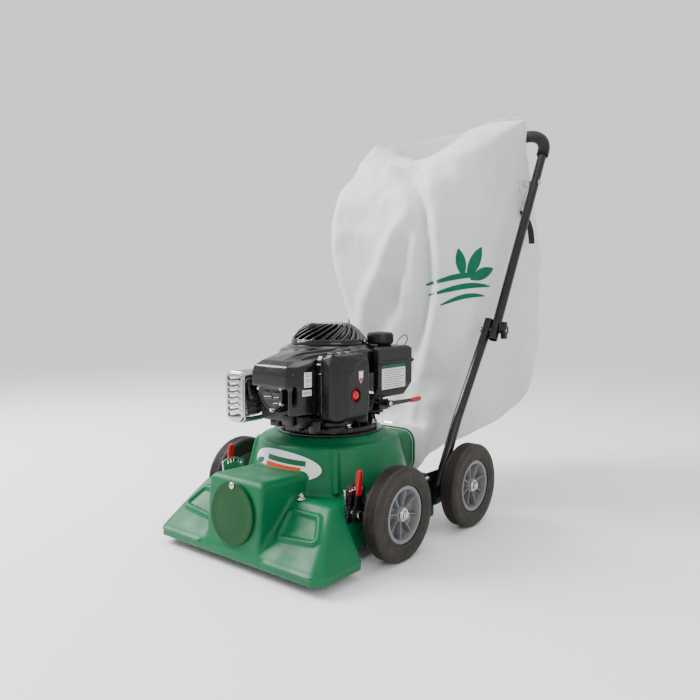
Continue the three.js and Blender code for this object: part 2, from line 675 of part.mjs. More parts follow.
function throttleLever() {
  const { x, y, z } = THROTTLE;
  const arm = sidePlate([[y - 9, z - 5], [y - 5, z - 9], [y + 100, z - 7], [y + 100, z + 3], [y - 5, z + 9],
    [y - 9, z + 5]], x - 1, x + 2);
  const tip = hull([y + 88, y + 94, y + 126, y + 132].flatMap((along, i) => {
    const half = [4, 7, 7, 3.5][i];
    return [[-3.5, -half], [4.5, -half], [4.5, half], [-3.5, half]].map(([dx, dz]) => [x + dx, along, z - 2.5 + dz]);
  }));
  return cut(join(arm, tip), rod('x', 3.6, x - 5, x + 6, [0, y, z]));
}

add('throttle_lever', throttleLever(), 'red', engine);

// Fuel tank wrapped round the back of the blower drum
function tankBlock(inset) {
  const low = 326 + inset;
  const high = 445 - inset;
  const left = -60 + inset;
  const right = 137 - inset;
  const front = 14 + inset;
  const rear = 149 - inset;
  const block = hull([
    [left, front, low], [right - 12, front, low], [left, rear - 8, low], [right - 12, rear - 8, low],
    [left, front, low + 24], [right, front, low + 24], [left, rear, low + 24], [right, rear, low + 24],
    [left, front, high - 8], [right, front, high - 8], [left, rear, high - 8], [right, rear, high - 8],
    [left + 6, front, high], [right - 6, front, high], [left + 6, rear - 6, high], [right - 6, rear - 6, high],
  ]);
  return cut(block, rod('z', 123 + inset, 300, 460, undefined, 32));
}

function fuelTank() {
  const seam = cut(box([-68, 14, 406], [145, 157, 414]), rod('z', 123, 300, 460, undefined, 32));
  const neck = rod('z', 24, 438, 455, [CAP.x, CAP.y, 0], 20);
  const throat = cut(rod('z', 20, 430, 450, [CAP.x, CAP.y, 0], 16), rod('z', 128, 420, 460, undefined, 32));
  return cut(join(tankBlock(0), seam, neck), tankBlock(WALL), throat,
    rod('z', 20, 441, 470, [CAP.x, CAP.y, 0], 16));
}

add('fuel_tank', fuelTank(), 'satinBlack', engine);
add('fuel_cap', turned('z', [[0, 457], [21, 457], [24.6, 456], [24.6, 449], [30, 449], [32, 452], [32, 472],
  [29, 477], [0, 477]], undefined, 20), 'satinBlack', groupAt(CAP.x, CAP.y, 0, engine));
add('cap_tether', sweep(rounded([[118, 111, 446.5], [126, 119, 466], [131, 134, 470], [128, 140, 452],
  [126, 128, 446.5]], 5, 2), 1.2, 6), 'satinBlack', engine);

// ---------- handle ----------

function foldLine(z) {
  return FOLD.y + (z - FOLD.z) * (CROSSBAR.y - FOLD.y) / (CROSSBAR.z - FOLD.z);
}

function hollowTube(points) {
  const ends = points.map((point) => point.clone());
  ends[0].addScaledVector(points[1].clone().sub(points[0]).normalize(), -5);
  ends.at(-1).addScaledVector(points.at(-2).clone().sub(points.at(-1)).normalize(), -5);
  return cut(sweep(points, TUBE_RADIUS), sweep(ends, TUBE_RADIUS - 1.8));
}

const foldHole = (from, to) => rod('x', 4.4, from, to, [0, FOLD.y, FOLD.z]);

function lowerTube() {
  const x = LOWER_TUBE_X;
  const tube = hollowTube(rounded([[x, 214, 98], [x, 306, 262], [x, FOLD.y - 2, FOLD.z - 4],
    [x, FOLD.y + 14, FOLD.z + 26]], 160, 3));
  const foot = box([DECK.halfWidth + 4.4, 198, 84], [x + 8, 230, 112]);
  return cut(join(tube, foot), foldHole(180, 225));
}

function upperTube() {
  const x = UPPER_TUBE_X;
  const low = [foldLine(FOLD.z - 24), FOLD.z - 24];
  return cut(hollowTube(rounded([[-x, ...low], [-x, CROSSBAR.y, CROSSBAR.z], [x, CROSSBAR.y, CROSSBAR.z],
    [x, ...low]], BEND_RADIUS, 5)), foldHole(-260, 260),
  ...SIDES.map(([, side]) => rod('x', 3.4, side * UPPER_TUBE_X - 20, side * UPPER_TUBE_X + 20,
    [0, foldLine(EYE_BOLT_Z), EYE_BOLT_Z], 12)));
}

// Foam sleeve over the crossbar and round both bends
function foamGrip() {
  const x = UPPER_TUBE_X;
  const z = CROSSBAR.z - 68;
  const route = rounded([[-x, foldLine(z), z], [-x, CROSSBAR.y, CROSSBAR.z], [x, CROSSBAR.y, CROSSBAR.z],
    [x, foldLine(z), z]], BEND_RADIUS, 5);
  const longer = route.map((point) => point.clone());
  longer[0].addScaledVector(route[1].clone().sub(route[0]).normalize(), -5);
  longer.at(-1).addScaledVector(route.at(-2).clone().sub(route.at(-1)).normalize(), -5);
  return cut(sweep(route, TUBE_RADIUS + 5), sweep(longer, TUBE_RADIUS + 1));
}

function foldBolt() {
  return join(rod('x', 4, 189, 262, [0, FOLD.y, FOLD.z]), rod('x', 8, 188, 192.4, [0, FOLD.y, FOLD.z], 6));
}

// Three-lobed knob on the outer end of a fold bolt
function foldKnob() {
  const x = UPPER_TUBE_X + TUBE_RADIUS + 1;
  const lobes = [0, 120, 240].map((degrees) => {
    const angle = THREE.MathUtils.degToRad(degrees + 30);
    return rod('x', 9, x + 6, x + 20, [0, 13 * Math.cos(angle), 13 * Math.sin(angle)], 10);
  });
  const body = join(rod('x', 9, x, x + 8), rod('x', 13, x + 6, x + 20), ...lobes);
  return cut(body, rod('x', 4.6, x - 5, x + 40, undefined, 10));
}

function eyeBolt() {
  const x = UPPER_TUBE_X;
  const ring = new THREE.TorusGeometry(9, 2.4, 6, 12);
  ring.rotateX(Math.PI / 2);
  ring.translate(x - 24, 0, 0);
  return join(solid(ring), rod('x', 2.8, x - 16, x + 18, undefined, 8),
    rod('x', 7, x + TUBE_RADIUS + 0.6, x + 18, undefined, 6));
}

for (const [name, side] of SIDES) {
  add(`lower_handle_${name}`, mirrored(lowerTube(), side), 'paintedBlack');
  add(`fold_bolt_${name}`, mirrored(foldBolt(), side), 'zinc');
  add(`fold_knob_${name}`, mirrored(foldKnob(), side), 'satinBlack', groupAt(0, FOLD.y, FOLD.z));
  add(`eye_bolt_${name}`, mirrored(eyeBolt(), side), 'zinc', groupAt(0, foldLine(EYE_BOLT_Z), EYE_BOLT_Z));
}
add('upper_handle', upperTube(), 'paintedBlack');
add('foam_grip', foamGrip(), 'foam');

// ---------- bag ----------

// Each section runs from a point on the front or top face to one on the bottom or back face
const NECK = { halfWidth: COLLAR.halfWidth + GAP + FABRIC, halfHeight: COLLAR.halfHeight + GAP + FABRIC };
const NECK_Y = COLLAR.y + 12;
const neckSection = (y) => ({
  front: [y, COLLAR.z + NECK.halfHeight], back: [y, COLLAR.z - NECK.halfHeight], half: NECK.halfWidth, corner: 29,
});
const BAG_SECTIONS = [
  neckSection(NECK_Y),
  neckSection(335),
  { front: [347, 246], back: [398, 138], half: 110, corner: 40 },
  { front: [353, 300], back: [558, 172], half: 142, corner: 60 },
  { front: [357, 360], back: [738, 205], half: 164, corner: 80 },
  { front: [350, 440], back: [850, 268], half: 175, corner: 95 },
  { front: [333, 540], back: [898, 405], half: 178, corner: 100 },
  { front: [309, 655], back: [902, 560], half: 184, corner: 100 },
  { front: [299, 750], back: [880, 740], half: 188, corner: 95 },
  { front: [326, 865], back: [830, 865], half: 189, corner: 85 },
  { front: [386, 952], back: [756, 955], half: 188, corner: 70 },
  { front: [452, 1004], back: [712, 1036], half: 184, corner: 55 },
  { front: [490, 1018], back: [700, 1068], half: 176, corner: 40 },
];

function bagRing({ front, back, half, corner }, inset) {
  const middle = [(front[0] + back[0]) / 2, (front[1] + back[1]) / 2];
  const reach = Math.hypot(back[0] - front[0], back[1] - front[1]) / 2;
  const along = [(back[0] - front[0]) / 2 / reach, (back[1] - front[1]) / 2 / reach];
  return roundedOutline(half - inset, reach - inset, corner - inset)
    .map(([across, down]) => [across, middle[0] + along[0] * down, middle[1] + along[1] * down]);
}

function debrisBag() {
  const outside = loft(BAG_SECTIONS.map((section) => bagRing(section, 0)));
  const inner = BAG_SECTIONS.map((section) => bagRing(section, FABRIC));
  inner[0] = inner[0].map(([x, y, z]) => [x, y - 10, z]);
  const last = inner.length - 1;
  inner[last] = inner[last].map(([x, y, z]) => [x, y + 1, z - FABRIC]);
  return cut(outside, loft(inner));
}

add('debris_bag', debrisBag(), 'fabric');

function bagClamp() {
  const band = (extra, from, to) =>
    roundedBar(NECK.halfWidth + extra, NECK.halfHeight + extra, 30 + extra, from, to, 0, COLLAR.z);
  const hoop = cut(band(2.2, 292, 306), band(0.6, 280, 320));
  const top = COLLAR.z + NECK.halfHeight + 2;
  return join(hoop, box([-16, 292, top - 0.5], [16, 306, top + 7]));
}

add('bag_clamp', bagClamp(), 'zinc');

const leafVacuum = new THREE.Group();
leafVacuum.add(machine);

export default leafVacuum;
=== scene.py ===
"""Walk-behind leaf vacuum: the looks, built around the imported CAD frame."""

import json
import math

import bmesh
import bpy
from mathutils import Matrix, Vector, noise
from mathutils.bvhtree import BVHTree


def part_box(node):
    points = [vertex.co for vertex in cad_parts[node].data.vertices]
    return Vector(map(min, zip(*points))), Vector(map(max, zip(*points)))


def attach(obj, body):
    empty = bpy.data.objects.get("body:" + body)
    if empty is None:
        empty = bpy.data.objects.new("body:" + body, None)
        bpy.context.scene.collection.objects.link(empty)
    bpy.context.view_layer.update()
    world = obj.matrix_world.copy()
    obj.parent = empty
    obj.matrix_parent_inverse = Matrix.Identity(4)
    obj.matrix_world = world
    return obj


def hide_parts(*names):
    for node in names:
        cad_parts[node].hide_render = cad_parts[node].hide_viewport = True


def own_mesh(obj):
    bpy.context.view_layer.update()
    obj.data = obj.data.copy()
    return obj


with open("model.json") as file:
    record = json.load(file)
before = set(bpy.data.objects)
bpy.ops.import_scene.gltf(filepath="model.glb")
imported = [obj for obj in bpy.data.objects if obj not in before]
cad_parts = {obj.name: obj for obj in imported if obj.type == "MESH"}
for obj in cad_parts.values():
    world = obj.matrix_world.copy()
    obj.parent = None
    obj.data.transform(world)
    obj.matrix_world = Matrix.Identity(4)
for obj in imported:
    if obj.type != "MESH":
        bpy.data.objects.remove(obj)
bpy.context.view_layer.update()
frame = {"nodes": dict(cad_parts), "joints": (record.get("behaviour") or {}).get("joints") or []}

# ---------- places taken from the frame ----------

MM = 0.001
SIDES = (("right", 1), ("left", -1))


def middle(node):
    low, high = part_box(node)
    return (low + high) / 2


JOINTS = {joint["name"]: joint for joint in frame["joints"]}
AXLE = middle("tyre_front_right")
# Shapes are drawn in millimetres from one of these two points on the ground
MACHINE = Vector((0, AXLE.y, 0))
CRANK = Vector((0, JOINTS["engine_spin"]["pos_m"][1], 0))

# ---------- camera ----------

CAMERA_PLACE = (1.0772, -1.4919, 0.5587)
CAMERA_AZIMUTH, CAMERA_DIP = 39.56, 4.34

camera = bpy.data.objects.new("camera", bpy.data.cameras.new("camera"))
camera.location = CAMERA_PLACE
camera.rotation_euler = (math.radians(90 - CAMERA_DIP), 0, math.radians(CAMERA_AZIMUTH))
camera.data.sensor_width = 36
camera.data.lens = 35.37
bpy.context.scene.collection.objects.link(camera)
bpy.context.scene.camera = camera

# ---------- materials ----------


def noise_node(tree, coords, scale, detail=4, stretch=(1, 1, 1)):
    mapping = tree.nodes.new("ShaderNodeMapping")
    mapping.inputs["Scale"].default_value = stretch
    tree.links.new(coords, mapping.inputs["Vector"])
    node = tree.nodes.new("ShaderNodeTexNoise")
    node.inputs["Scale"].default_value = scale
    node.inputs["Detail"].default_value = detail
    tree.links.new(mapping.outputs["Vector"], node.inputs["Vector"])
    return node.outputs["Fac"]


def ranged(tree, value, low, high, start=0.3, end=0.7):
    node = tree.nodes.new("ShaderNodeMapRange")
    for name, number in (("From Min", start), ("From Max", end), ("To Min", low), ("To Max", high)):
        node.inputs[name].default_value = number
    tree.links.new(value, node.inputs["Value"])
    return node.outputs["Result"]


def mixed(tree, factor, first, second):
    node = tree.nodes.new("ShaderNodeMix")
    node.data_type = "RGBA"
    for socket, value in ((6, first), (7, second)):
        if isinstance(value, tuple):
            node.inputs[socket].default_value = (*value, 1)
        else:
            tree.links.new(value, node.inputs[socket])
    tree.links.new(factor, node.inputs[0])
    return node.outputs[2]


def bumped(tree, height, strength, distance, before=None):
    node = tree.nodes.new("ShaderNodeBump")
    node.inputs["Strength"].default_value = strength
    node.inputs["Distance"].default_value = distance
    tree.links.new(height, node.inputs["Height"])
    if before:
        tree.links.new(before, node.inputs["Normal"])
    return node.outputs["Normal"]


def finish(name, colour, shade, rough, metallic=0.0, grain=900, grain_depth=0.0002, patch=9, coat=0.0,
           stretch=(1, 1, 1), dust=None, scuff=0.0, sheen=0.0, shine=0.5):
    """Surface whose colour and gloss wander in patches, with a fine grain and a little dust or wear."""
    material = bpy.data.materials.new(name)
    material.use_nodes = True
    tree = material.node_tree
    shader = tree.nodes["Principled BSDF"]
    coords = tree.nodes.new("ShaderNodeTexCoord").outputs["Object"]
    patches = noise_node(tree, coords, patch)
    fine = noise_node(tree, coords, grain, 3, stretch)
    cloudy = mixed(tree, ranged(tree, patches, 0, 1), colour, shade)
    if dust:
        specks = ranged(tree, noise_node(tree, coords, 60, 8), 0, 0.5, 0.55, 0.75)
        cloudy = mixed(tree, specks, cloudy, dust)
    tree.links.new(cloudy, shader.inputs["Base Color"])
    gloss = noise_node(tree, coords, patch * 4, 6, stretch)
    tree.links.new(ranged(tree, gloss, rough - 0.06, rough + 0.1 + scuff), shader.inputs["Roughness"])
    wave = bumped(tree, patches, 0.15, 0.002)
    tree.links.new(bumped(tree, fine, 0.35, grain_depth, wave), shader.inputs["Normal"])
    shader.inputs["Metallic"].default_value = metallic
    shader.inputs["Specular IOR Level"].default_value = shine
    if coat:
        shader.inputs["Coat Weight"].default_value = coat
        shader.inputs["Coat Roughness"].default_value = 0.12
    if sheen:
        shader.inputs["Sheen Weight"].default_value = sheen
        shader.inputs["Sheen Roughness"].default_value = 0.5
    return material


LOOKS = {
    "green": finish("moulded green", (0.0, 0.125, 0.046), (0.0, 0.1, 0.036), 0.4, grain=420,
                    grain_depth=0.0003, patch=5, scuff=0.04, shine=0.24),
    "cover": finish("smooth dark green", (0.0, 0.05, 0.009), (0.0, 0.042, 0.008), 0.2,
                    grain=260, grain_depth=0.0001, shine=0.16),
    "gloss": finish("glossy black plastic", (0.0025, 0.0025, 0.0025), (0.004, 0.004, 0.004), 0.13,
                    grain=500, grain_depth=0.00006, shine=0.4, dust=(0.008, 0.008, 0.0075)),
    "satin": finish("grained black plastic", (0.0065, 0.006, 0.0058), (0.0095, 0.009, 0.0085), 0.34,
                    grain=1500, grain_depth=0.0003, shine=0.3, dust=(0.016, 0.015, 0.014)),
    "paint": finish("black paint", (0.004, 0.004, 0.004), (0.006, 0.006, 0.006), 0.28, grain=700,
                    grain_depth=0.00012, coat=0.05, shine=0.35, dust=(0.014, 0.014, 0.013)),
    "cast_black": finish("painted casting", (0.004, 0.004, 0.004), (0.007, 0.007, 0.0065), 0.34,
                         metallic=0.2, grain=520, grain_depth=0.0005, shine=0.35, dust=(0.03, 0.029, 0.027)),
    "cast": finish("bare casting", (0.3, 0.3, 0.29), (0.18, 0.18, 0.17), 0.42, metallic=1.0,
                   grain=420, grain_depth=0.0006, dust=(0.08, 0.08, 0.07)),
    "steel": finish("pressed steel", (0.56, 0.55, 0.53), (0.34, 0.335, 0.32), 0.24, metallic=1.0,
                    grain=300, grain_depth=0.0001, stretch=(1, 1, 6), dust=(0.22, 0.21, 0.2)),
    "zinc": finish("zinc plate", (0.6, 0.62, 0.6), (0.4, 0.42, 0.39), 0.2, metallic=1.0,
                   grain=380, grain_depth=0.0001, patch=30),
    "tyre": finish("tyre rubber", (0.017, 0.0145, 0.0115), (0.025, 0.021, 0.0165), 0.58, grain=600,
                   grain_depth=0.0004, dust=(0.05, 0.045, 0.037), patch=14, shine=0.3),
    "hub": finish("moulded grey", (0.17, 0.175, 0.18), (0.13, 0.135, 0.14), 0.38, grain=800,
                  grain_depth=0.0002, dust=(0.22, 0.22, 0.21), shine=0.35),
    "foam": finish("grip foam", (0.005, 0.005, 0.005), (0.009, 0.009, 0.009), 0.72, grain=1100,
                   grain_depth=0.0008, sheen=0.08, shine=0.25),
    "red": finish("red vinyl", (0.42, 0.0, 0.004), (0.3, 0.0, 0.003), 0.22, grain=300,
                  grain_depth=0.0001, coat=0.15, shine=0.4),
    "webbing": finish("black webbing", (0.006, 0.006, 0.006), (0.011, 0.011, 0.011), 0.7, grain=900,
                      grain_depth=0.0005, stretch=(1, 1, 3), sheen=0.15, shine=0.25),
    "label": finish("pale label", (0.66, 0.68, 0.67), (0.56, 0.58, 0.57), 0.3, grain=200,
                    grain_depth=0.00005, shine=0.4),
    "print_grey": finish("grey print", (0.06, 0.065, 0.065), (0.1, 0.105, 0.105), 0.35, grain=200,
                         grain_depth=0.00005),
    "print_green": finish("green print", (0.0, 0.085, 0.035), (0.0, 0.07, 0.028), 0.4, grain=400,
                          grain_depth=0.00005, shine=0.3),
    "print_orange": finish("orange print", (0.62, 0.05, 0.004), (0.52, 0.04, 0.004), 0.35, grain=300,
                           grain_depth=0.00005, shine=0.3),
    "ink": finish("green ink on cloth", (0.0, 0.095, 0.05), (0.0, 0.12, 0.065), 0.7, grain=900,
                  grain_depth=0.0003, patch=40, shine=0.2),
    "stitch": finish("sewing thread", (0.5, 0.51, 0.5), (0.42, 0.43, 0.42), 0.7, grain=900),
}


def cloth_finish():
    """Woven bag cloth: two sets of threads, soft creases, faint stains and a little light let through."""
    material = bpy.data.materials.new("bag cloth")
    material.use_nodes = True
    tree = material.node_tree
    shader = tree.nodes["Principled BSDF"]
    coords = tree.nodes.new("ShaderNodeTexCoord").outputs["Object"]
    threads = []
    for turn in (0, math.pi / 2):
        mapping = tree.nodes.new("ShaderNodeMapping")
        mapping.inputs["Rotation"].default_value = (0, turn, 0.7)
        tree.links.new(coords, mapping.inputs["Vector"])
        wave = tree.nodes.new("ShaderNodeTexWave")
        wave.inputs["Scale"].default_value = 260
        wave.inputs["Distortion"].default_value = 0.6
        tree.links.new(mapping.outputs["Vector"], wave.inputs["Vector"])
        threads.append(wave.outputs["Fac"])
    weave = tree.nodes.new("ShaderNodeMath")
    weave.operation = "MULTIPLY"
    tree.links.new(threads[0], weave.inputs[0])
    tree.links.new(threads[1], weave.inputs[1])
    patches = noise_node(tree, coords, 3.5, 6)
    pale = mixed(tree, ranged(tree, patches, 0, 1), (0.66, 0.68, 0.67), (0.56, 0.58, 0.57))
    threaded = mixed(tree, ranged(tree, weave.outputs[0], 0, 0.22, 0, 1), pale, (0.76, 0.78, 0.77))
    tree.links.new(threaded, shader.inputs["Base Color"])
    tree.links.new(ranged(tree, patches, 0.62, 0.8), shader.inputs["Roughness"])
    creases = noise_node(tree, coords, 13, 6, (1, 1, 0.45))
    soft = bumped(tree, creases, 0.75, 0.012)
    tree.links.new(bumped(tree, weave.outputs[0], 0.5, 0.0004, soft), shader.inputs["Normal"])
    shader.inputs["Sheen Weight"].default_value = 0.25
    shader.inputs["Subsurface Weight"].default_value = 0.08
    shader.inputs["Subsurface Radius"].default_value = (0.01, 0.01, 0.01)
    return material


LOOKS["cloth"] = cloth_finish()

# ---------- shapes, each a bmesh in millimetres ----------


def joined(*shapes):
    whole = bmesh.new()
    for shape in shapes:
        mesh = bpy.data.meshes.new("part")
        shape.to_mesh(mesh)
        shape.free()
        whole.from_mesh(mesh)
        bpy.data.meshes.remove(mesh)
    return whole


def moved(shape, *matrices):
    for matrix in matrices:
        shape.transform(matrix)
        if matrix.determinant() < 0:
            bmesh.ops.reverse_faces(shape, faces=shape.faces)
    return shape


def shifted(shape, x, y, z):
    return moved(shape, Matrix.Translation((x, y, z)))


def turned_by(shape, degrees, axis):
    return moved(shape, Matrix.Rotation(math.radians(degrees), 4, axis))


def to_side(shape, side):
    return shape if side > 0 else moved(shape, Matrix.Diagonal((-1, 1, 1, 1)))


def hull(points):
    shape = bmesh.new()
    for point in points:
        shape.verts.new(point)
    found = bmesh.ops.convex_hull(shape, input=shape.verts)
    inside = [item for item in found["geom_interior"] if isinstance(item, bmesh.types.BMVert)]
    bmesh.ops.delete(shape, geom=inside, context="VERTS")
    bmesh.ops.recalc_face_normals(shape, faces=shape.faces)
    return shape


def both(points):
    return [place for x, y, z in points for place in ((x, y, z), (-x, y, z))]


def block(low, high):
    return hull([(x, y, z) for x in (low[0], high[0]) for y in (low[1], high[1]) for z in (low[2], high[2])])


def lathe(outline, centre=(0, 0, 0), axis="Z", sides=64, closed=False):
    """Body turned about an axis; its outline is (radius, distance), on the axis at both ends or closed."""
    shape = bmesh.new()
    rings = []
    for radius, along in outline:
        count = 1 if radius < 1e-6 else sides
        rings.append([shape.verts.new((radius * math.cos(2 * math.pi * i / sides),
                                       radius * math.sin(2 * math.pi * i / sides), along))
                      for i in range(count)])
    pairs = list(zip(rings, rings[1:] + rings[:1])) if closed else list(zip(rings, rings[1:]))
    for low, high in pairs:
        for i in range(sides):
            a, b = low[i % len(low)], low[(i + 1) % len(low)]
            c, d = high[(i + 1) % len(high)], high[i % len(high)]
            corners = list(dict.fromkeys((a, b, c, d)))
            if len(corners) > 2:
                shape.faces.new(corners)
    bmesh.ops.recalc_face_normals(shape, faces=shape.faces)
    turn = {"Z": Matrix.Identity(4), "X": Matrix.Rotation(math.pi / 2, 4, "Y"),
            "Y": Matrix.Rotation(-math.pi / 2, 4, "X")}[axis]
    return moved(shape, turn, Matrix.Translation(centre))


def disc_rod(radius, start, end, centre=(0, 0, 0), axis="Z", sides=48, edge=0.6):
    """Round bar with eased ends."""
    outline = [(0, start), (radius - edge, start), (radius, start + edge), (radius, end - edge),
               (radius - edge, end), (0, end)]
    return lathe(outline, centre, axis, sides)


def smooth_line(points, steps=8):
    """Curve through the points (Catmull-Rom)."""
    points = [Vector(point) for point in points]
    line = []
    for i in range(len(points) - 1):
        p0, p1, p2, p3 = (points[min(max(i + k, 0), len(points) - 1)] for k in (-1, 0, 1, 2))
        for step in range(steps):
            t = step / steps
            line.append(0.5 * (2 * p1 + (p2 - p0) * t + (2 * p0 - 5 * p1 + 4 * p2 - p3) * t * t
                               + (3 * p1 - p0 - 3 * p2 + p3) * t ** 3))
    return line + [points[-1]]


def rounded_line(corners, radius, steps=12):
    """Straight runs whose corners are arcs."""
    corners = [Vector(corner) for corner in corners]
    line = [corners[0]]
    for before, corner, after in zip(corners, corners[1:], corners[2:]):
        back, ahead = (before - corner).normalized(), (after - corner).normalized()
        half = back.angle(ahead) / 2
        start = corner + back * radius / math.tan(half)
        centre = corner + (back + ahead).normalized() * radius / math.sin(half)
        axis = (start - centre).cross(back)
        sweep = math.pi - 2 * half
        for step in range(steps + 1):
            line.append(centre + Matrix.Rotation(-sweep * step / steps, 3, axis) @ (start - centre))
    return line + [corners[-1]]


def swept(line, section, closed=False):
    """Body whose section (a list of 2D points, or one list per place) follows a line."""
    line = [Vector(point) for point in line]
    count = len(line)
    shape = bmesh.new()
    rings = []
    side = None
    for i, place in enumerate(line):
        before = line[(i - 1) % count] if closed or i else place
        after = line[(i + 1) % count] if closed or i < count - 1 else place
        along = (after - before).normalized()
        if side is None:
            side = along.orthogonal().normalized()
            if abs(along.z) < 0.9:
                side = along.cross(Vector((0, 0, 1))).normalized()
        side = (side - along * side.dot(along)).normalized()
        up = side.cross(along)
        outline = section[i] if isinstance(section[0][0], (tuple, list)) else section
        rings.append([shape.verts.new(place + side * u + up * v) for u, v in outline])
    pairs = list(zip(rings, rings[1:] + rings[:1])) if closed else list(zip(rings, rings[1:]))
    for low, high in pairs:
        for k in range(len(low)):
            shape.faces.new((low[k], low[(k + 1) % len(low)], high[(k + 1) % len(low)], high[k]))
    if not closed:
        shape.faces.new(rings[0])
        shape.faces.new(rings[-1])
    bmesh.ops.recalc_face_normals(shape, faces=shape.faces)
    return shape


def circle(radius, sides, squash=1.0):
    return [(radius * math.cos(2 * math.pi * i / sides), radius * squash * math.sin(2 * math.pi * i / sides))
            for i in range(sides)]


def tube(line, radius, sides=20, closed=False):
    return swept(line, circle(radius, sides), closed)


def prism(outline, low, high, axis="X"):
    """Plate with an outline in the other two coordinates."""
    shape = bmesh.new()
    order = {"X": lambda u, v, w: (w, u, v), "Y": lambda u, v, w: (u, w, v),
             "Z": lambda u, v, w: (u, v, w)}[axis]
    rings = [[shape.verts.new(order(u, v, w)) for u, v in outline] for w in (low, high)]
    for k in range(len(outline)):
        n = (k + 1) % len(outline)
        shape.faces.new((rings[0][k], rings[0][n], rings[1][n], rings[1][k]))
    shape.faces.new(rings[0])
    shape.faces.new(rings[1])
    bmesh.ops.recalc_face_normals(shape, faces=shape.faces)
    return shape


def rounded_box(half_u, half_v, corner, u=0, v=0, steps=6):
    points = []
    for quarter, (su, sv) in enumerate(((1, 1), (-1, 1), (-1, -1), (1, -1))):
        for step in range(steps + 1):
            angle = (quarter + step / steps) * math.pi / 2
            points.append((u + su * (half_u - corner) + corner * math.cos(angle),
                           v + sv * (half_v - corner) + corner * math.sin(angle)))
    return points


def hex_nut(radius, start, end, centre=(0, 0, 0), axis="Z"):
    return lathe([(0, start), (radius * 0.9, start), (radius, start + 0.8), (radius, end - 0.8),
                  (radius * 0.9, end), (0, end)], centre, axis, 6)


# ---------- pieces ----------


def piece(name, shape, look, body="chassis", origin=MACHINE, replaces=(), crisp=35, bevel=0.0):
    """Puts a shape in the scene as one piece of the object."""
    moved(shape, Matrix.Translation(origin) @ Matrix.Diagonal((MM, MM, MM, 1)))
    mesh = bpy.data.meshes.new(name)
    shape.to_mesh(mesh)
    shape.free()
    thing = bpy.data.objects.new(name, mesh)
    bpy.context.scene.collection.objects.link(thing)
    return dressed(thing, look, body, replaces, crisp, bevel)


def dressed(thing, look, body="chassis", replaces=(), crisp=35, bevel=0.0):
    thing.data.materials.clear()
    thing.data.materials.append(LOOKS[look])
    if bevel:
        add(thing, "BEVEL", width=bevel * MM, segments=2, limit_method="ANGLE", angle_limit=math.radians(30))
        settle(thing)
    thing.data.shade_smooth()
    thing.data.set_sharp_from_angle(angle=math.radians(crisp))
    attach(thing, body)
    if replaces:
        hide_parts(*replaces)
    return thing


def add(thing, kind, **settings):
    modifier = thing.modifiers.new(kind.lower(), kind)
    for name, value in settings.items():
        setattr(modifier, name, value)
    return modifier


def settle(thing):
    """Turns the modifiers into the mesh itself."""
    graph = bpy.context.evaluated_depsgraph_get()
    mesh = bpy.data.meshes.new_from_object(thing.evaluated_get(graph))
    thing.modifiers.clear()
    thing.data = mesh


def raw(name, shape):
    """Loose object still in millimetres, for remeshing and cutting."""
    mesh = bpy.data.meshes.new(name)
    shape.to_mesh(mesh)
    shape.free()
    thing = bpy.data.objects.new(name, mesh)
    bpy.context.scene.collection.objects.link(thing)
    return thing


def taken(thing):
    """The loose object's mesh as a shape again."""
    shape = bmesh.new()
    shape.from_mesh(thing.data)
    bpy.data.objects.remove(thing)
    return shape


def fused(shapes, voxel, passes):
    """One skin round overlapping bodies, its edges eased like a moulding's."""
    thing = raw("fused", joined(*shapes))
    add(thing, "REMESH", mode="VOXEL", voxel_size=voxel, adaptivity=0)
    if passes:
        add(thing, "SMOOTH", factor=0.5, iterations=passes)
    settle(thing)
    return taken(thing)


def carved(shape, *tools):
    """Shape with the tools cut out of it."""
    thing = raw("carved", shape)
    cutters = []
    for tool in tools:
        cutter = raw("cutter", tool)
        cutters.append(cutter)
        add(thing, "BOOLEAN", object=cutter, operation="DIFFERENCE", solver="MANIFOLD")
    settle(thing)
    for cutter in cutters:
        bpy.data.objects.remove(cutter)
    return taken(thing)


def keep_node(name, look, bevel=0.5):
    """CAD node that stays, with eased edges and its own finish."""
    node = frame["nodes"][name]
    node.data.materials.clear()
    node.data.materials.append(LOOKS[look])
    if bevel:
        add(node, "WELD", merge_threshold=0.00002)
        add(node, "BEVEL", width=bevel * MM, segments=2, limit_method="ANGLE", angle_limit=math.radians(28),
            harden_normals=True)
    node.data.shade_smooth()
    add(node, "WEIGHTED_NORMAL", keep_sharp=True)
    return node

# ---------- housing ----------

WALL = 5
DECK_HALF, DECK_REAR = 188, 232
TURRET_Y = (CRANK.y - MACHINE.y) / MM
PORT_LEAN = math.radians(5)
PORT_AXIS = Vector((0, -math.cos(PORT_LEAN), math.sin(PORT_LEAN)))
PORT_LOW, PORT_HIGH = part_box("port_cover")
PORT_Z = (PORT_LOW.z + PORT_HIGH.z) / 2 / MM


def hood(inset):
    """Wedge over the mouth: vertical lip, sloping front and sides, flat ledge on top."""
    half, front, ledge = 249 - inset, -260 + inset, 140 - inset
    floor = 17 if not inset else 0
    return hull(both([
        (half - 18, front, floor), (half, front + 18, floor), (half, -126 - inset, floor),
        (half - 20, front + 3, 40 - inset / 2), (half - 2, front + 20, 40 - inset / 2),
        (half - 2, -126 - inset, 40 - inset / 2),
        (192 - inset, -157 + inset / 2, ledge), (190 - inset, -126 - inset, ledge),
    ]))


def bulge(inset):
    """Block in the middle of the hood that carries the hose port's cover."""
    half, top = 82 - inset, 186 - inset

    def face(z):
        return -247 + (z - 112) * math.tan(PORT_LEAN) + inset

    return hull(both([
        (half, face(30), 30), (half, face(top - 10), top - 10), (half - 9, face(top - 10) + 8, top),
        (half - 10, -90, top - 4), (half, -90, top - 12), (half, -90, 30),
    ]))


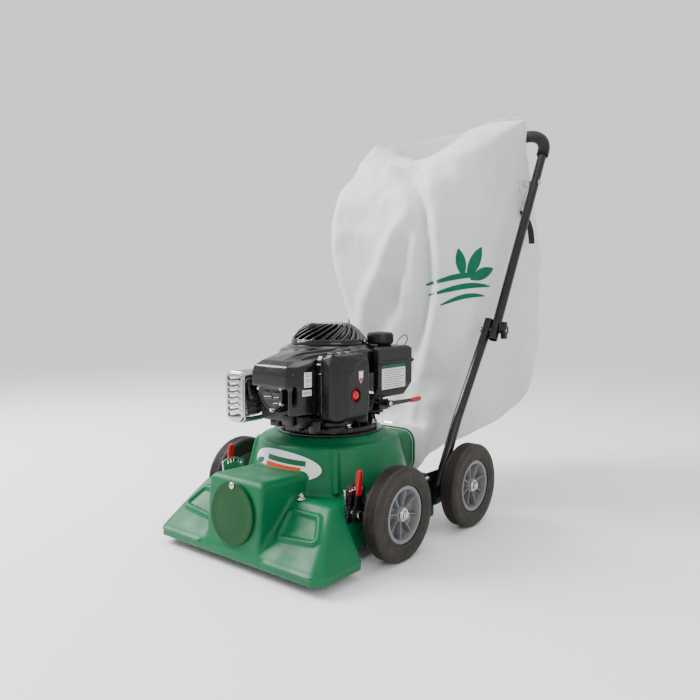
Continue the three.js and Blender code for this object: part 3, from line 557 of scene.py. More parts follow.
def deck(inset):
    half, rear = DECK_HALF - inset, DECK_REAR - inset
    floor = 26 if not inset else 10
    return hull(both([
        (half, -150, floor), (half, rear, floor), (half, -150, 126 - inset), (half - 8, -150, 134 - inset),
        (half, rear, 120 - inset), (half - 10, rear - 10, 134 - inset),
    ]))


def turret(inset):
    """Round chamber above the impeller, a little wider at its foot."""
    outline = [(0, 132), (189, 132), (188.4, 145), (169, 219)]
    for step in range(1, 8):
        turn = math.pi / 2 * step / 7
        outline.append((155 + 13 * math.cos(turn), 224 + 13 * math.sin(turn)))
    outline += [(146, 238.5), (143, 243), (137, 244), (134, 249), (130, 250), (0, 250)]
    return lathe([(max(r - inset, 0), z - (inset if z > 150 else 0)) for r, z in outline],
                 (0, TURRET_Y, 0), sides=160)


def chute(inset):
    """Square duct out of the turret to the rear collar."""
    low, high = 116 + inset, 220 - inset
    half = 96 - inset
    rear = 268 if not inset else 290
    return hull(both([
        (half, 130, low), (half, 130, high), (half, rear, low + 14), (half - 14, rear, low),
        (half, rear, high - 14), (half - 14, rear, high),
    ]))


WING_FOOT_Y, WING_FOOT_Z = -257, 40


def on_wing(x, z, lift=0.0):
    """Point on the 45 degree front slope, lifted off it."""
    rise = lift / math.sqrt(2)
    return Vector((x, WING_FOOT_Y + (z - WING_FOOT_Z) - rise, z + rise))


PANEL_CORNERS = ((97, 121), (178, 122), (205, 84), (104, 77))


def housing():
    body = fused([hood(0), bulge(0), deck(0), turret(0), chute(0)], 3.0, 14)
    details = [body]
    for _, side in SIDES:
        corners = [on_wing(side * x, z, 0.6) for x, z in PANEL_CORNERS]
        start = (corners[0] + corners[3]) / 2
        loop = rounded_line([start, *corners, start], 9, 8)
        details.append(tube(loop[:-1], 5.6, 14, closed=True))
        lip = [(side * 100, -259.5, 36), (side * 228, -259.5, 36), (side * 247.5, -240, 36),
               (side * 247.5, -130, 36)]
        details.append(tube(rounded_line(lip, 12, 6), 2.6, 10))
        rib = []
        for z in (139, 160, 190, 218, 232):
            turn = math.radians(45.5)
            radius = 188.5 - (z - 145) * 0.262 - (4 if z > 225 else 0)
            rib.append((side * radius * math.sin(turn), TURRET_Y - radius * math.cos(turn), z))
        details.append(tube(smooth_line(rib, 6), 9, 16))
        flute = [(side * (84 + 3), -247 + 22 - 6, 66), (side * 87, -170, 118), (side * 86, -150, 141)]
        details.append(tube(smooth_line(flute, 6), 4, 10))
    skin = fused(details, 2.4, 5)
    hollow = fused([hood(WALL), bulge(WALL), deck(WALL), turret(WALL), chute(WALL),
                    block((-DECK_HALF + WALL, -150, 5), (DECK_HALF - WALL, DECK_REAR - WALL, 60))], 3.5, 0)
    scallops = [shifted(lathe([(0, -25), (9, -25), (9, 25), (0, 25)], axis="Y", sides=24), x, -235, 11.5)
                for x in range(-210, 211, 35)]
    port = lathe([(0, -30), (52, -30), (52, 20), (0, 20)], sides=64)
    turned_by(port, 90 - math.degrees(PORT_LEAN), "X")
    shifted(port, 0, -247, PORT_Z)
    crown = shifted(lathe([(0, -30), (60, -30), (60, 30), (0, 30)], sides=64), 0, TURRET_Y, 250)
    return carved(skin, hollow, port, crown, joined(*scallops))


piece("housing_shell", housing(), "green", replaces=["nozzle_housing"], crisp=50)


def port_frame(distance, z):
    """Point on the hose port's axis line through height z on the bulge's face, that far out of it."""
    face = Vector((0, -247 + (z - 112) * math.tan(PORT_LEAN), z))
    return face + PORT_AXIS * distance


def on_port(shape, z):
    turned_by(shape, 90 - math.degrees(PORT_LEAN), "X")
    return moved(shape, Matrix.Translation(port_frame(0, z)))


def port_cover():
    rim = [(0, 0.5), (64, 0.5), (66, 2), (66, 4)]
    for step in range(1, 7):
        turn = math.pi / 2 * step / 6
        rim.append((63.4 + 2.6 * math.cos(turn), 4 + 2.4 * math.sin(turn)))
    rim += [(60, 6.6), (57, 6.1), (40, 6.7), (20, 7.1), (0, 7.2)]
    return on_port(lathe(rim, sides=160), PORT_Z)


def pan_screw():
    head = [(0, 7.5), (7.2, 7.5), (7.2, 8.4), (6.4, 9.8), (4.4, 10.8), (1.4, 11.1), (1.2, 9.6), (0, 9.4)]
    slots = [block((-4, -0.8, 9.4), (4, 0.8, 12)), block((-0.8, -4, 9.4), (0.8, 4, 12))]
    return on_port(carved(joined(lathe(head, sides=48)), *slots), 171)


piece("hose_port_cover", port_cover(), "cover", "port_door", replaces=["port_cover"])
piece("hose_port_screw", joined(pan_screw(), on_port(disc_rod(3.2, -16, 7.4, sides=20), 171)), "zinc",
      replaces=["port_screw"])


def deck_nut(side):
    washer = disc_rod(11.5, 0.3, 2.0, sides=48)
    collar = lathe([(0, 1.9), (8.6, 1.9), (8.6, 3), (7, 3.8), (0, 3.8)], sides=40)
    nut = hex_nut(7, 3.7, 9.6)
    thread = [(0, -12)] + [(3.4 + 0.3 * (i % 2), -12 + i * 0.55) for i in range(46)] + [(0, 14)]
    return shifted(joined(washer, collar, nut, lathe(thread, sides=24)), side * 103, -150, 140)


for side_name, side in SIDES:
    piece(f"deck_stud_{side_name}", deck_nut(side), "zinc", replaces=[f"deck_nut_{side_name}"])

# Badge on the turret: an oval plate with a leaf and plain stripes

BADGE = {"turn": 3.4, "half_turn": 33.7, "z": 193, "half_height": 33}


def on_turret(turn, z, lift):
    radius = 188.4 - (z - 145) * 0.262 + lift
    angle = math.radians(turn)
    return (radius * math.sin(angle), TURRET_Y - radius * math.cos(angle), z)


def wrapped(outline, place, lift, thick):
    """Thin plate from a convex outline of fractions, laid on a surface by place(u, v, lift)."""
    shape = bmesh.new()
    steps = 10
    rings = []
    for level in (lift, lift + thick):
        centre = (sum(u for u, v in outline) / len(outline), sum(v for u, v in outline) / len(outline))
        grid = [shape.verts.new(place(*centre, level))]
        circles = []
        for step in range(1, steps + 1):
            share = step / steps
            circles.append([shape.verts.new(place(centre[0] + (u - centre[0]) * share,
                                                  centre[1] + (v - centre[1]) * share, level))
                            for u, v in outline])
        rings.append((grid[0], circles))
    count = len(outline)
    for hub, circles in rings:
        for k in range(count):
            n = (k + 1) % count
            shape.faces.new((hub, circles[0][k], circles[0][n]))
            for low, high in zip(circles, circles[1:]):
                shape.faces.new((low[k], low[n], high[n], high[k]))
    for k in range(count):
        n = (k + 1) % count
        shape.faces.new((rings[0][1][-1][k], rings[0][1][-1][n], rings[1][1][-1][n], rings[1][1][-1][k]))
    bmesh.ops.recalc_face_normals(shape, faces=shape.faces)
    return shape


def badge_place(u, v, lift):
    height = BADGE["z"] + v * BADGE["half_height"] - u * 5
    return on_turret(BADGE["turn"] + u * BADGE["half_turn"], height, lift)


def oval(u, v, ru, rv, sides=72):
    return [(u + ru * math.cos(2 * math.pi * i / sides), v + rv * math.sin(2 * math.pi * i / sides))
            for i in range(sides)]


def leaf_outline(u, v, length, width, turn, steps=14):
    """Pointed leaf from its stalk end to its tip."""
    edge = [(t / steps, max(math.sin(math.pi * t / steps), 0) ** 0.8) for t in range(steps + 1)]
    points = [(length * t, width * w) for t, w in edge] + [(length * t, -width * w) for t, w in edge[-2:0:-1]]
    angle = math.radians(turn)
    return [(u + a * math.cos(angle) - b * math.sin(angle), v + a * math.sin(angle) + b * math.cos(angle))
            for a, b in points]


def stripe(u0, u1, v0, v1):
    low = [(u0 + (u1 - u0) * i / 16, v0) for i in range(17)]
    return low + [(u, v1) for u, _ in reversed(low)]


piece("badge_rim", wrapped(oval(0, 0, 1, 1), badge_place, 0.5, 0.5), "print_green")
piece("badge_plate", wrapped(oval(0, 0, 0.965, 0.93), badge_place, 1.0, 0.4), "label")
piece("badge_leaf", wrapped(leaf_outline(-0.86, -0.42, 0.62, 0.13, 62), badge_place, 1.4, 0.3), "print_green")
piece("badge_leaf_small", wrapped(leaf_outline(-0.66, -0.56, 0.42, 0.1, 48), badge_place, 1.4, 0.3),
      "print_orange")
piece("badge_stripe_top", wrapped(stripe(-0.4, 0.62, 0.16, 0.5), badge_place, 1.4, 0.3), "print_green")
piece("badge_stripe_middle", wrapped(stripe(-0.42, 0.52, -0.26, 0.04), badge_place, 1.4, 0.3), "print_orange")
piece("badge_stripe_low", wrapped(stripe(-0.2, 0.52, -0.68, -0.44), badge_place, 1.4, 0.3), "print_green")

# ---------- wheels and height adjusters ----------

WHEEL_RADIUS = 101.6
WHEEL_HALF = 21.5


def tyre_outline():
    """Half section from the bead over the ribbed sidewall and shoulder to the grooved tread."""
    wall = []
    for step in range(41):
        radius = 63.2 + 28.4 * step / 40
        bulge_out = 2.0 * math.sin(math.pi * min(1, step / 30) / 2)
        rib = 0.55 * (1 if (step // 3) % 2 else 0) if 4 < step < 25 else 0
        wall.append((radius, WHEEL_HALF - 2.2 + bulge_out - rib))
    turns = [math.pi / 2 * i / 8 for i in range(1, 9)]
    shoulder = [(WHEEL_RADIUS - 10 + 10 * math.sin(turn), WHEEL_HALF - 10 + 10 * math.cos(turn))
                for turn in turns]
    tread = []
    for groove in (8.5, 4.2, 0.0):
        tread += [(WHEEL_RADIUS, groove + 1.1), (WHEEL_RADIUS - 1.6, groove + 0.7)]
        if groove:
            tread += [(WHEEL_RADIUS - 1.6, groove - 0.7), (WHEEL_RADIUS, groove - 1.1)]
    half = wall + shoulder + tread
    return [(r, w) for r, w in half] + [(r, -w) for r, w in reversed(half)]


def hub_shape():
    rim_out, rim_in = 62.4, 53.5
    dish = [(7, -14), (16.5, -14), (17.5, -8), (50, -10), (60, -16.5), (rim_out, -16.5), (rim_out, 16),
            (61.4, 17.2), (56, 17.6), (54.4, 17.2), (rim_in, 15.6), (51.5, -1), (48, -4), (20, -4), (18, -2),
            (17.2, 10), (16.4, 11.4), (11, 12), (7, 12)]
    parts = [lathe(dish, axis="X", sides=128, closed=True)]
    for i in range(8):
        web = hull([(x, y, z) for x, half, z in ((-5, 1.9, 15), (9, 1.1, 15), (-5, 1.9, 54), (13, 1.1, 54.5))
                    for y in (-half, half)])
        parts.append(turned_by(web, 45 * i + 22.5, "X"))
    return joined(*parts)


for place in ("front", "rear"):
    for side_name, side in SIDES:
        centre = middle(f"tyre_{place}_{side_name}")
        body = f"wheel_{place}_{side_name}"
        tyre = turned_by(lathe(tyre_outline(), axis="X", sides=144, closed=True), 3, "X")
        piece(f"tyre_ribbed_{place}_{side_name}", tyre, "tyre", body, centre,
              [f"tyre_{place}_{side_name}"], crisp=32)
        hub = turned_by(to_side(hub_shape(), side), 11 if place == "front" else -6, "X")
        piece(f"hub_spoked_{place}_{side_name}", hub, "hub", body, centre,
              [f"hub_{place}_{side_name}"], crisp=30, bevel=0.4)

AXLE_Z = AXLE.z / MM
REAR_Y = (middle("tyre_rear_right").y - MACHINE.y) / MM
PIVOT_Y, PIVOT_Z = -86, 112
ARM_INNER, ARM_OUTER = 198, 203


def axle_end(y, start):
    """Axle, washer, nut and thread outside the hub."""
    thread = [(0, 266)] + [(5.6 - 0.4 * (i % 2), 265.5 + i * 0.5) for i in range(5)] + [(0, 268)]
    return shifted(joined(
        disc_rod(5.9, start, 262, axis="X", sides=32),
        lathe([(0, 257.6), (13.4, 257.6), (14, 258.2), (14, 259), (13.4, 259.6), (0, 259.6)], axis="X",
              sides=64),
        lathe([(0, 259.5), (10.6, 259.5), (11, 260), (9.6, 261.4), (0, 261.6)], axis="X", sides=48),
        hex_nut(9.6, 261, 266, axis="X"), lathe(thread, axis="X", sides=32)), 0, y, AXLE_Z)


def arm_plate():
    """Flat lever from the pivot to the wheel's axle, with its upright."""
    outline = smooth_line([(-100, 101, 0), (-88, 95, 0), (-60, 92, 0), (-20, 86, 0), (6, 86, 0),
                           (15, 96, 0), (14, 110, 0), (2, 117, 0), (-30, 119, 0), (-62, 124, 0),
                           (-70, 138, 0), (-72, 158, 0), (-78, 165, 0), (-86, 160, 0), (-92, 136, 0),
                           (-99, 118, 0), (-100, 101, 0)],
                          4)[:-1]
    return prism([(p.x, p.y) for p in outline], ARM_INNER, ARM_OUTER)


def lever_grip():
    """Dipped grip on the lever's end."""
    line = [(200.5, -80.5, 150), (200.5, -80.5, 153), (200.5, -80, 175), (200.5, -78.5, 196),
            (200.5, -78, 202), (200.5, -78, 204)]
    widths = [(3.4, 6.4), (4.8, 8.6), (5.2, 9.4), (5.2, 9.4), (4.0, 7.4), (1.6, 3.2)]
    sections = [[(w * math.cos(2 * math.pi * i / 28), t * math.sin(2 * math.pi * i / 28)) for i in range(28)]
                for w, t in widths]
    shape = bmesh.new()
    rings = [[shape.verts.new((p[0] + u, p[1] + v, p[2])) for u, v in s] for p, s in zip(line, sections)]
    for low, high in zip(rings, rings[1:]):
        for i in range(28):
            shape.faces.new((low[i], low[(i + 1) % 28], high[(i + 1) % 28], high[i]))
    shape.faces.new(rings[0])
    shape.faces.new(rings[-1])
    bmesh.ops.recalc_face_normals(shape, faces=shape.faces)
    return shape


def quadrant_plate():
    """Fixed plate with a row of lever notches in its arc."""
    arc = [(PIVOT_Y + 62 * math.cos(math.radians(a)), PIVOT_Z + 62 * math.sin(math.radians(a)))
           for a in range(50, 119, 4)]
    plate = prism([(PIVOT_Y - 22, PIVOT_Z - 18), (PIVOT_Y + 40, PIVOT_Z - 18), *arc], 188.4, 192)
    slots = []
    for degrees in range(60, 113, 9):
        slot = block((180, -2.4, 50), (196, 2.4, 58))
        slots.append(shifted(turned_by(slot, degrees - 90, "X"), 0, PIVOT_Y, PIVOT_Z))
    return carved(plate, joined(*slots))


for side_name, side in SIDES:
    arm = f"arm_{side_name}"
    piece(f"lever_arm_{side_name}", to_side(arm_plate(), side), "paint", arm,
          replaces=[f"height_arm_{side_name}"], bevel=0.6)
    piece(f"lever_grip_{side_name}", to_side(lever_grip(), side), "red", arm)
    piece(f"front_axle_{side_name}", to_side(axle_end(0, ARM_INNER), side), "zinc", arm, bevel=0.0)
    stud = joined(disc_rod(5, 188.4, 209, axis="X", sides=32),
                  disc_rod(9, 192.2, 197.4, axis="X", sides=40), hex_nut(8.4, 203.6, 209, axis="X"))
    piece(f"lever_pivot_{side_name}", to_side(shifted(stud, 0, PIVOT_Y, PIVOT_Z), side), "zinc")
    piece(f"notched_plate_{side_name}", to_side(quadrant_plate(), side), "zinc",
          replaces=[f"height_quadrant_{side_name}"], bevel=0.4)
    outline = smooth_line([(176, 62, 0), (216, 57, 0), (256, 58, 0), (REAR_Y + 13, 84, 0),
                           (REAR_Y + 18, 104, 0), (REAR_Y + 4, 123, 0), (262, 139, 0), (222, 141, 0),
                           (186, 139, 0), (173, 118, 0), (171, 86, 0), (176, 62, 0)], 5)[:-1]
    plate = joined(prism([(p.x, p.y) for p in outline], 188.4, 192),
                   shifted(disc_rod(11, 191.8, 222, axis="X", sides=40), 0, REAR_Y, AXLE_Z))
    piece(f"rear_plate_{side_name}", to_side(plate, side), "paint",
          replaces=[f"rear_bracket_{side_name}"], bevel=0.6)
    piece(f"rear_axle_{side_name}", to_side(axle_end(REAR_Y, 221), side), "zinc")
    bolts = [shifted(joined(disc_rod(8, 192.1, 193.6, axis="X"), hex_nut(6, 193.5, 198, axis="X")), 0, y, z)
             for y, z in ((190, 128), (250, 126), (196, 70))]
    piece(f"rear_plate_bolts_{side_name}", to_side(joined(*bolts), side), "zinc")

# ---------- inside the housing ----------

keep_node("impeller_inlet_plate", "paint")
keep_node("bottom_pan", "paint")
keep_node("impeller", "paint", 0.8)
keep_node("impeller_bolt", "zinc", 0.4)
keep_node("crankshaft", "steel", 0.5)
keep_node("flywheel", "cast", 0.5)
keep_node("crankcase", "cast_black", 1.2)
keep_node("discharge_collar", "green", 0.5)

# ---------- engine: casings ----------


def bolt(radius, height, washer=0.0):
    """Flanged hex bolt standing on z = 0."""
    parts = [lathe([(0, -3), (radius * 1.25, -3), (radius * 1.3, 0.2), (radius * 1.2, 1.2), (0, 1.4)],
                   sides=40),
             hex_nut(radius, 1.2, height)]
    if washer:
        parts.append(disc_rod(washer, -2.5, 0.1, sides=40))
    return joined(*parts)


def engine_plate():
    rim = [(0, 250.4), (124, 250.4), (126, 251.4), (126, 253.4), (124.5, 254.6), (118, 255), (0, 255)]
    return carved(lathe(rim, sides=160), lathe([(0, 240), (40, 240), (40, 260), (0, 260)], sides=48))


piece("engine_mount_plate", engine_plate(), "paint", origin=CRANK, replaces=["engine_plate"])


def sump_ribs():
    """Ribs, feet and bosses cast round the crankcase."""
    parts = []
    for i in range(24):
        rib = hull([(96, -1.6, 267), (113, -1.6, 266), (96, 1.6, 267), (113, 1.6, 266), (96, -1.2, 326),
                    (99.4, -1.2, 326), (96, 1.2, 326), (99.4, 1.2, 326)])
        parts.append(turned_by(rib, 15 * i + 4, "Z"))
    for degrees in (-70, -25, 20, 65, 110, 155, 200, 245):
        foot = fused([disc_rod(11, 255.2, 268, (108, 0, 0)), block((90, -8, 255.2), (108, 8, 266))], 1.6, 3)
        parts.append(turned_by(foot, degrees, "Z"))
    return joined(*parts)


piece("sump_castings", sump_ribs(), "cast_black", origin=CRANK)
bolts = [turned_by(shifted(bolt(5.4, 7.5, 8.5), 108, 0, 268.6), degrees, "Z")
         for degrees in (-70, -25, 20, 65, 110, 155, 200, 245)]
piece("mounting_bolts", joined(*bolts), "zinc", origin=CRANK)


def finned_block():
    """Cylinder with its cooling fins, rounded at their corners."""
    parts = [block((-44, -150, 286), (44, -96, 364))]
    for i in range(8):
        y = -147 + 6.4 * i
        parts.append(prism(rounded_box(53, 44, 9, 0, 323), y, y + 2.2, "Y"))
    return joined(*parts)


def finned_head():
    parts = [prism(rounded_box(54, 38, 8, -2, 327), -160, -151, "Y")]
    for i in range(3):
        y = -165.5 + 4.6 * i
        parts.append(prism(rounded_box(56, 40, 10, -2, 327), y, y + 1.8, "Y"))
    return joined(*parts)


piece("cylinder_finned", finned_block(), "cast_black", origin=CRANK, replaces=["cylinder"], bevel=0.4)
piece("head_finned", finned_head(), "cast_black", origin=CRANK, replaces=["cylinder_head"], bevel=0.3)

VALVE_OUTLINE = [(-39, 352), (-30, 372), (40, 374), (47, 366), (46, 330), (22, 311), (4, 311), (-14, 322)]


def inset_outline(outline, amount):
    cx = sum(u for u, v in outline) / len(outline)
    cz = sum(v for u, v in outline) / len(outline)
    return [(cx + (u - cx) * (1 - amount / 40), cz + (v - cz) * (1 - amount / 32)) for u, v in outline]


def valve_cover():
    """Cover over the valves: a raised rim line round the face and cast relief inside it."""
    def layer(amount, y):
        return [(x, y, z) for x, z in inset_outline(VALVE_OUTLINE, amount)]

    parts = [hull(layer(0, -166.4) + layer(0, -188) + layer(5, -199))]
    rim = [Vector((x, -198.6, z)) for x, z in inset_outline(VALVE_OUTLINE, 6.5)]
    loop = rounded_line([*rim, rim[0]], 4, 5)
    parts.append(tube(loop[:-1], 2.4, 10, closed=True))
    for x, z, length in ((-17, 354, 20), (-15, 343, 26), (14, 354, 20), (16, 343, 18), (14, 330, 16)):
        parts.append(tube([(x, -198.4, z), (x + length, -198.4, z + 1.5)], 2.6, 10))
    return fused(parts, 1.1, 3)


piece("valve_cover_cast", valve_cover(), "gloss", origin=CRANK, replaces=["valve_cover"], crisp=60)
valve_bolts = [shifted(turned_by(bolt(4.2, 5.5), 90, "X"), x, -196.5, z)
               for x, z in ((-30, 361), (39, 366), (38, 333), (9, 317))]
piece("valve_cover_bolts", joined(*valve_bolts), "zinc", origin=CRANK)


def spark_boot():
    outline = [(0, -4), (10, -4), (11, 2), (10, 8), (8.4, 12), (9.4, 14), (8.4, 16), (9.4, 18), (8, 22),
               (7.4, 30), (6, 34), (0, 35)]
    return shifted(turned_by(lathe(outline, sides=40), 90, "X"), -47, -168, 342)


piece("spark_plug_body", shifted(turned_by(joined(lathe([(0, -6), (5.4, -6), (5.4, 1), (0, 1)], sides=24),
                                                  hex_nut(9, 0.4, 9), disc_rod(5, 8, 30, sides=24)), 90, "X"),
                                 -47, -166, 342), "steel", origin=CRANK, replaces=["spark_plug"])
piece("spark_plug_boot", shifted(spark_boot(), 0, -4, 0), "satin", origin=CRANK)
lead = smooth_line([(-47, -205, 342), (-49, -208, 352), (-56, -204, 366), (-60, -196, 377),
                    (-58, -180, 384)], 8)
piece("spark_lead", tube(lead, 3.2, 14), "satin", origin=CRANK)

# Muffler with its slotted guard


def muffler():
    body = [prism(rounded_box(26, 42, 12, -180, 338), -91, -66, "X")]
    body.append(tube([(-70, -159, 338), (-56.6, -159, 338)], 10, 24))
    seam = prism(rounded_box(29, 45, 14, -180, 338), -80, -77.5, "X")
    dimples = [shifted(lathe([(0, -2), (3, -2), (3, 2), (0, 2)], axis="X", sides=20), -91.5, -180 + u,
                       338 + v)
               for u in (-12, 0, 12) for v in (-22, -11, 0, 11, 22)]
    return joined(carved(fused(body, 1.4, 3), joined(*dimples)), seam)


def slot_cutter(low, high, corner, axis):
    """Rounded slot through a sheet; low and high are the corners of its box."""
    if axis == "Y":
        outline = rounded_box((high[0] - low[0]) / 2, (high[2] - low[2]) / 2, corner,
                              (low[0] + high[0]) / 2, (low[2] + high[2]) / 2)
        return prism(outline, low[1], high[1], "Y")
    outline = rounded_box((high[1] - low[1]) / 2, (high[2] - low[2]) / 2, corner, (low[1] + high[1]) / 2,
                          (low[2] + high[2]) / 2)
    return prism(outline, low[0], high[0], "X")


def muffler_guard():
    """Pressed guard: a round-cornered basket with stacked slots on its face and its outer side."""
    shell = fused([prism(rounded_box(32, 58, 18, -92, 338, 10), -211, -150, "Y"),
                   prism(rounded_box(28, 54, 16, -92, 338, 10), -217, -205, "Y")], 1.6, 6)
    hollow = fused([prism(rounded_box(30, 56, 16, -92, 338, 10), -209, -130, "Y"),
                    prism(rounded_box(26, 52, 14, -92, 338, 10), -215, -203, "Y")], 1.6, 6)
    slots = []
    for i in range(7):
        z = 297 + 13.7 * i
        slots.append(slot_cutter((-113, -225, z - 4.6), (-69, -205, z + 4.6), 3.4, "Y"))
        slots.append(slot_cutter((-130, -203, z - 4.6), (-112, -160, z + 4.6), 3.4, "X"))
    return carved(shell, hollow, block((-62.4, -212, 260), (-40, -120, 420)), joined(*slots))


piece("muffler_can", muffler(), "steel", origin=CRANK, replaces=["muffler"], crisp=50)
piece("muffler_basket", muffler_guard(), "steel", origin=CRANK, replaces=["muffler_guard"], crisp=50)


def drum(inset):
    outline = [(0, 386 + (0 if not inset else -30)), (120 - inset, 386 + (0 if not inset else -30)),
               (120 - inset, 426)]
    for step in range(1, 7):
        turn = math.pi / 2 * step / 6
        outline.append((106 - inset + 14 * math.cos(turn), 426 + (18 - inset * 0.6) * math.sin(turn)))
    outline += [(92 - inset, 451.6 - inset), (0, 451.6 - inset)]
    return lathe(outline, sides=120)


def nose(inset):
    """Duct from the drum forward over the cylinder, its top rounding down to every side."""
    floor = 368 if not inset else 330
    outer = [(-55 + inset, -190), (-50 + inset, -202 + inset), (-36, -213 + inset), (68, -215 + inset),
             (82 - inset, -210 + inset), (88 - inset, -196 + inset), (95 - inset, -150), (95 - inset, -120),
             (-55 + inset, -120)]
    return hull([
        *[(x, y, floor) for x, y in outer],
        *[(x, y, 398 - inset) for x, y in outer],
        *[(x, y, 414 - inset) for x, y in ((-50 + inset, -184), (-34, -207 + inset), (66, -209 + inset),
                                           (83 - inset, -194), (92 - inset, -148))],
        *[(x, y, 424 - inset) for x, y in ((-38 + inset, -172), (-24, -192 + inset), (52, -194 + inset),
                                           (70 - inset, -180))],
        (-52 + inset, -120, 424 - inset), (-70 + inset, -60, 436 - inset), (90 - inset, -60, 440 - inset),
        (-30, -130, 438 - inset), (20, -140, 439 - inset), (60, -130, 437 - inset),
        (0, -88, 447 - inset), (40, -92, 446 - inset),
    ])


def shield(inset):
    """Side sheet that hangs from the nose beside the cylinder."""
    return hull([(x, y, z) for z in (310, 402) for x, y in ((70, -212 + inset), (82 - inset, -207 + inset),
                                                            (88 - inset, -194), (95.4 - inset, -152),
                                                            (95.4 - inset, -104), (70, -104))])


CAP_X, CAP_Y = 84, 90


def blower():
    """Moulded fan housing with flowing ridges from the nose round the drum."""
    parts = [drum(0), nose(0), shield(0)]
    for k, (start, bend, end) in enumerate((((62, -196, 417), (78, -120, 434), (106, -20, 443)),
                                            ((36, -192, 422), (58, -124, 440), (92, -40, 448)),
                                            ((78, -180, 412), (90, -116, 428), (115, -6, 436)))):
        halfway = ((start[0] + bend[0]) / 2 - 2, (start[1] + bend[1]) / 2, bend[2] - 6)
        line = smooth_line([start, halfway, bend, end], 10)
        count = len(line)
        sections = [circle(max(1.2, (6.2 - 1.1 * k) * math.sin(math.pi * (0.12 + 0.8 * i / (count - 1)))), 12)
                    for i in range(count)]
        parts.append(swept(line, sections))
    skin = fused(parts, 1.8, 9)
    hollow = fused([drum(4), nose(4), block((-50, -208, 330), (86, -60, 375))], 3, 0)
    inner_side = hull([(x, y, z) for z in (290, 400)
                       for x, y in ((40, -206), (80, -204), (85, -192), (92.4, -150),
                                                                 (92.4, -90), (40, -90))])
    gap = block((96, -230, 300), (140, -44, 470))
    back = block((-130, -230, 300), (-56.6, -146, 470))
    recess = lathe([(0, 436), (36, 436), (36, 480), (0, 480)], (CAP_X, CAP_Y, 0), sides=64)
    below = hull([(x, y, z) for z in (320, 388) for x in (-130, 130) for y in (-40, 130)])
    eye = lathe([(0, 430), (76, 430), (76, 470), (0, 470)], sides=96)
    return carved(skin, hollow, inner_side, gap, back, recess, below, eye)


piece("fan_housing", blower(), "gloss", origin=CRANK, replaces=["blower_housing"], crisp=50)


def on_nose(u, v, lift):
    """Point on the nose's sloping top, about its middle."""
    return (2 + u * 0.94 - v * 0.2, -168 + v * 0.9 + u * 0.1, 429.6 + lift + (v * 0.3))


piece("nose_plate_rim", wrapped(oval(0, 0, 16, 7, 48), on_nose, -0.6, 1.2), "steel", origin=CRANK)
piece("nose_plate_spot", wrapped(oval(0, 0, 9, 3.6, 40), on_nose, 0.6, 0.4), "print_orange", origin=CRANK)

# Starter cover: a dome of swirling slats

STARTER = {"foot": 452.4, "step": 460, "top": 499, "rim": 90, "slat_out": 83.5, "slat_in": 41, "slats": 22,
           "swirl": 62}


def starter_height(radius):
    """Height of the dome's skin."""
    share = min(max((radius - STARTER["slat_in"]) / (STARTER["slat_out"] - STARTER["slat_in"]), 0), 1)
    return STARTER["top"] - 37 * share ** 1.75


def starter_base():
    outline = [(70, 452.4), (90, 452.4), (90, 457.5), (88.5, 460), (85, 461), (84, 463)]
    outline += [(r, starter_height(r) - 5.5) for r in (80, 74, 68, 60, 52, 46, 41)]
    outline += [(0, 492), (0, 490), (41, 490), (52, 484), (62, 476), (70, 466)]
    return lathe(outline, sides=120)


def starter_slats():
    parts = []
    for i in range(STARTER["slats"]):
        line, sections = [], []
        for step in range(15):
            share = step / 14
            radius = STARTER["slat_out"] + (STARTER["slat_in"] - 4 - STARTER["slat_out"]) * share
            turn = math.radians(360 * i / STARTER["slats"] + STARTER["swirl"] * share ** 0.9)
            line.append((radius * math.cos(turn), radius * math.sin(turn), starter_height(radius) - 2.4))
            width = 2 * math.pi * radius / STARTER["slats"] * 0.30
            sections.append(circle(width, 14, 3.0 / width))
        parts.append(swept(line, sections))
    crown = [(0, 497.4), (30, 497.2), (38, 496.6), (42.5, 494.6), (43, 492), (0, 491)]
    cap = lathe([(r, z + 1.6) for r, z in crown], sides=96)
    hoop = tube([(85.5 * math.cos(math.radians(a)), 85.5 * math.sin(math.radians(a)), 461)
                 for a in range(0, 360, 3)],
                3.2, 12, closed=True)
    return fused([*parts, cap, hoop], 1.15, 2)


piece("starter_dome", starter_base(), "gloss", origin=CRANK, replaces=["starter_cover"])
piece("starter_swirl_slats", starter_slats(), "gloss", origin=CRANK, crisp=60)
starter_screws = [turned_by(shifted(bolt(3.4, 4), 87.2, 0, 459.2), degrees, "Z")
                  for degrees in (20, 140, 260)]
piece("starter_screws", joined(*starter_screws), "zinc", origin=CRANK)
keep_node("starter_pulley", "satin", 0.3)


def pull_grip():
    """T-shaped pull grip on its rope."""
    body = fused([hull([(x, y, z) for x, half, rise in ((-8, 19, 5), (8, 19, 6), (-4, 25, 3), (4, 25, 3))
                        for y in (-half, half) for z in (-rise, rise)]),
                  lathe([(0, -2), (7, -2), (6, 12), (0, 13)], axis="X", sides=32)], 1.2, 4)
    return body


def rope():
    """Twisted rope: three strands round a straight line."""
    strands = []
    for k in range(3):
        line = [(x, math.cos(x * 0.7 + 2.1 * k), math.sin(x * 0.7 + 2.1 * k))
                for x in range(6, 166)]
        strands.append(tube(line, 1.0, 6))
    return joined(*strands)


GRIP_LOW, GRIP_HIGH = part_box("starter_grip")
GRIP = Vector((GRIP_LOW.x + 0.009, (GRIP_LOW.y + GRIP_HIGH.y) / 2, (GRIP_LOW.z + GRIP_HIGH.z) / 2))
piece("pull_grip", pull_grip(), "satin", "starter_pull_body", GRIP, ["starter_grip"], crisp=60)
piece("pull_rope", rope(), "webbing", "starter_pull_body", GRIP, crisp=80)

# ---------- engine: air filter, primer, carburettor ----------

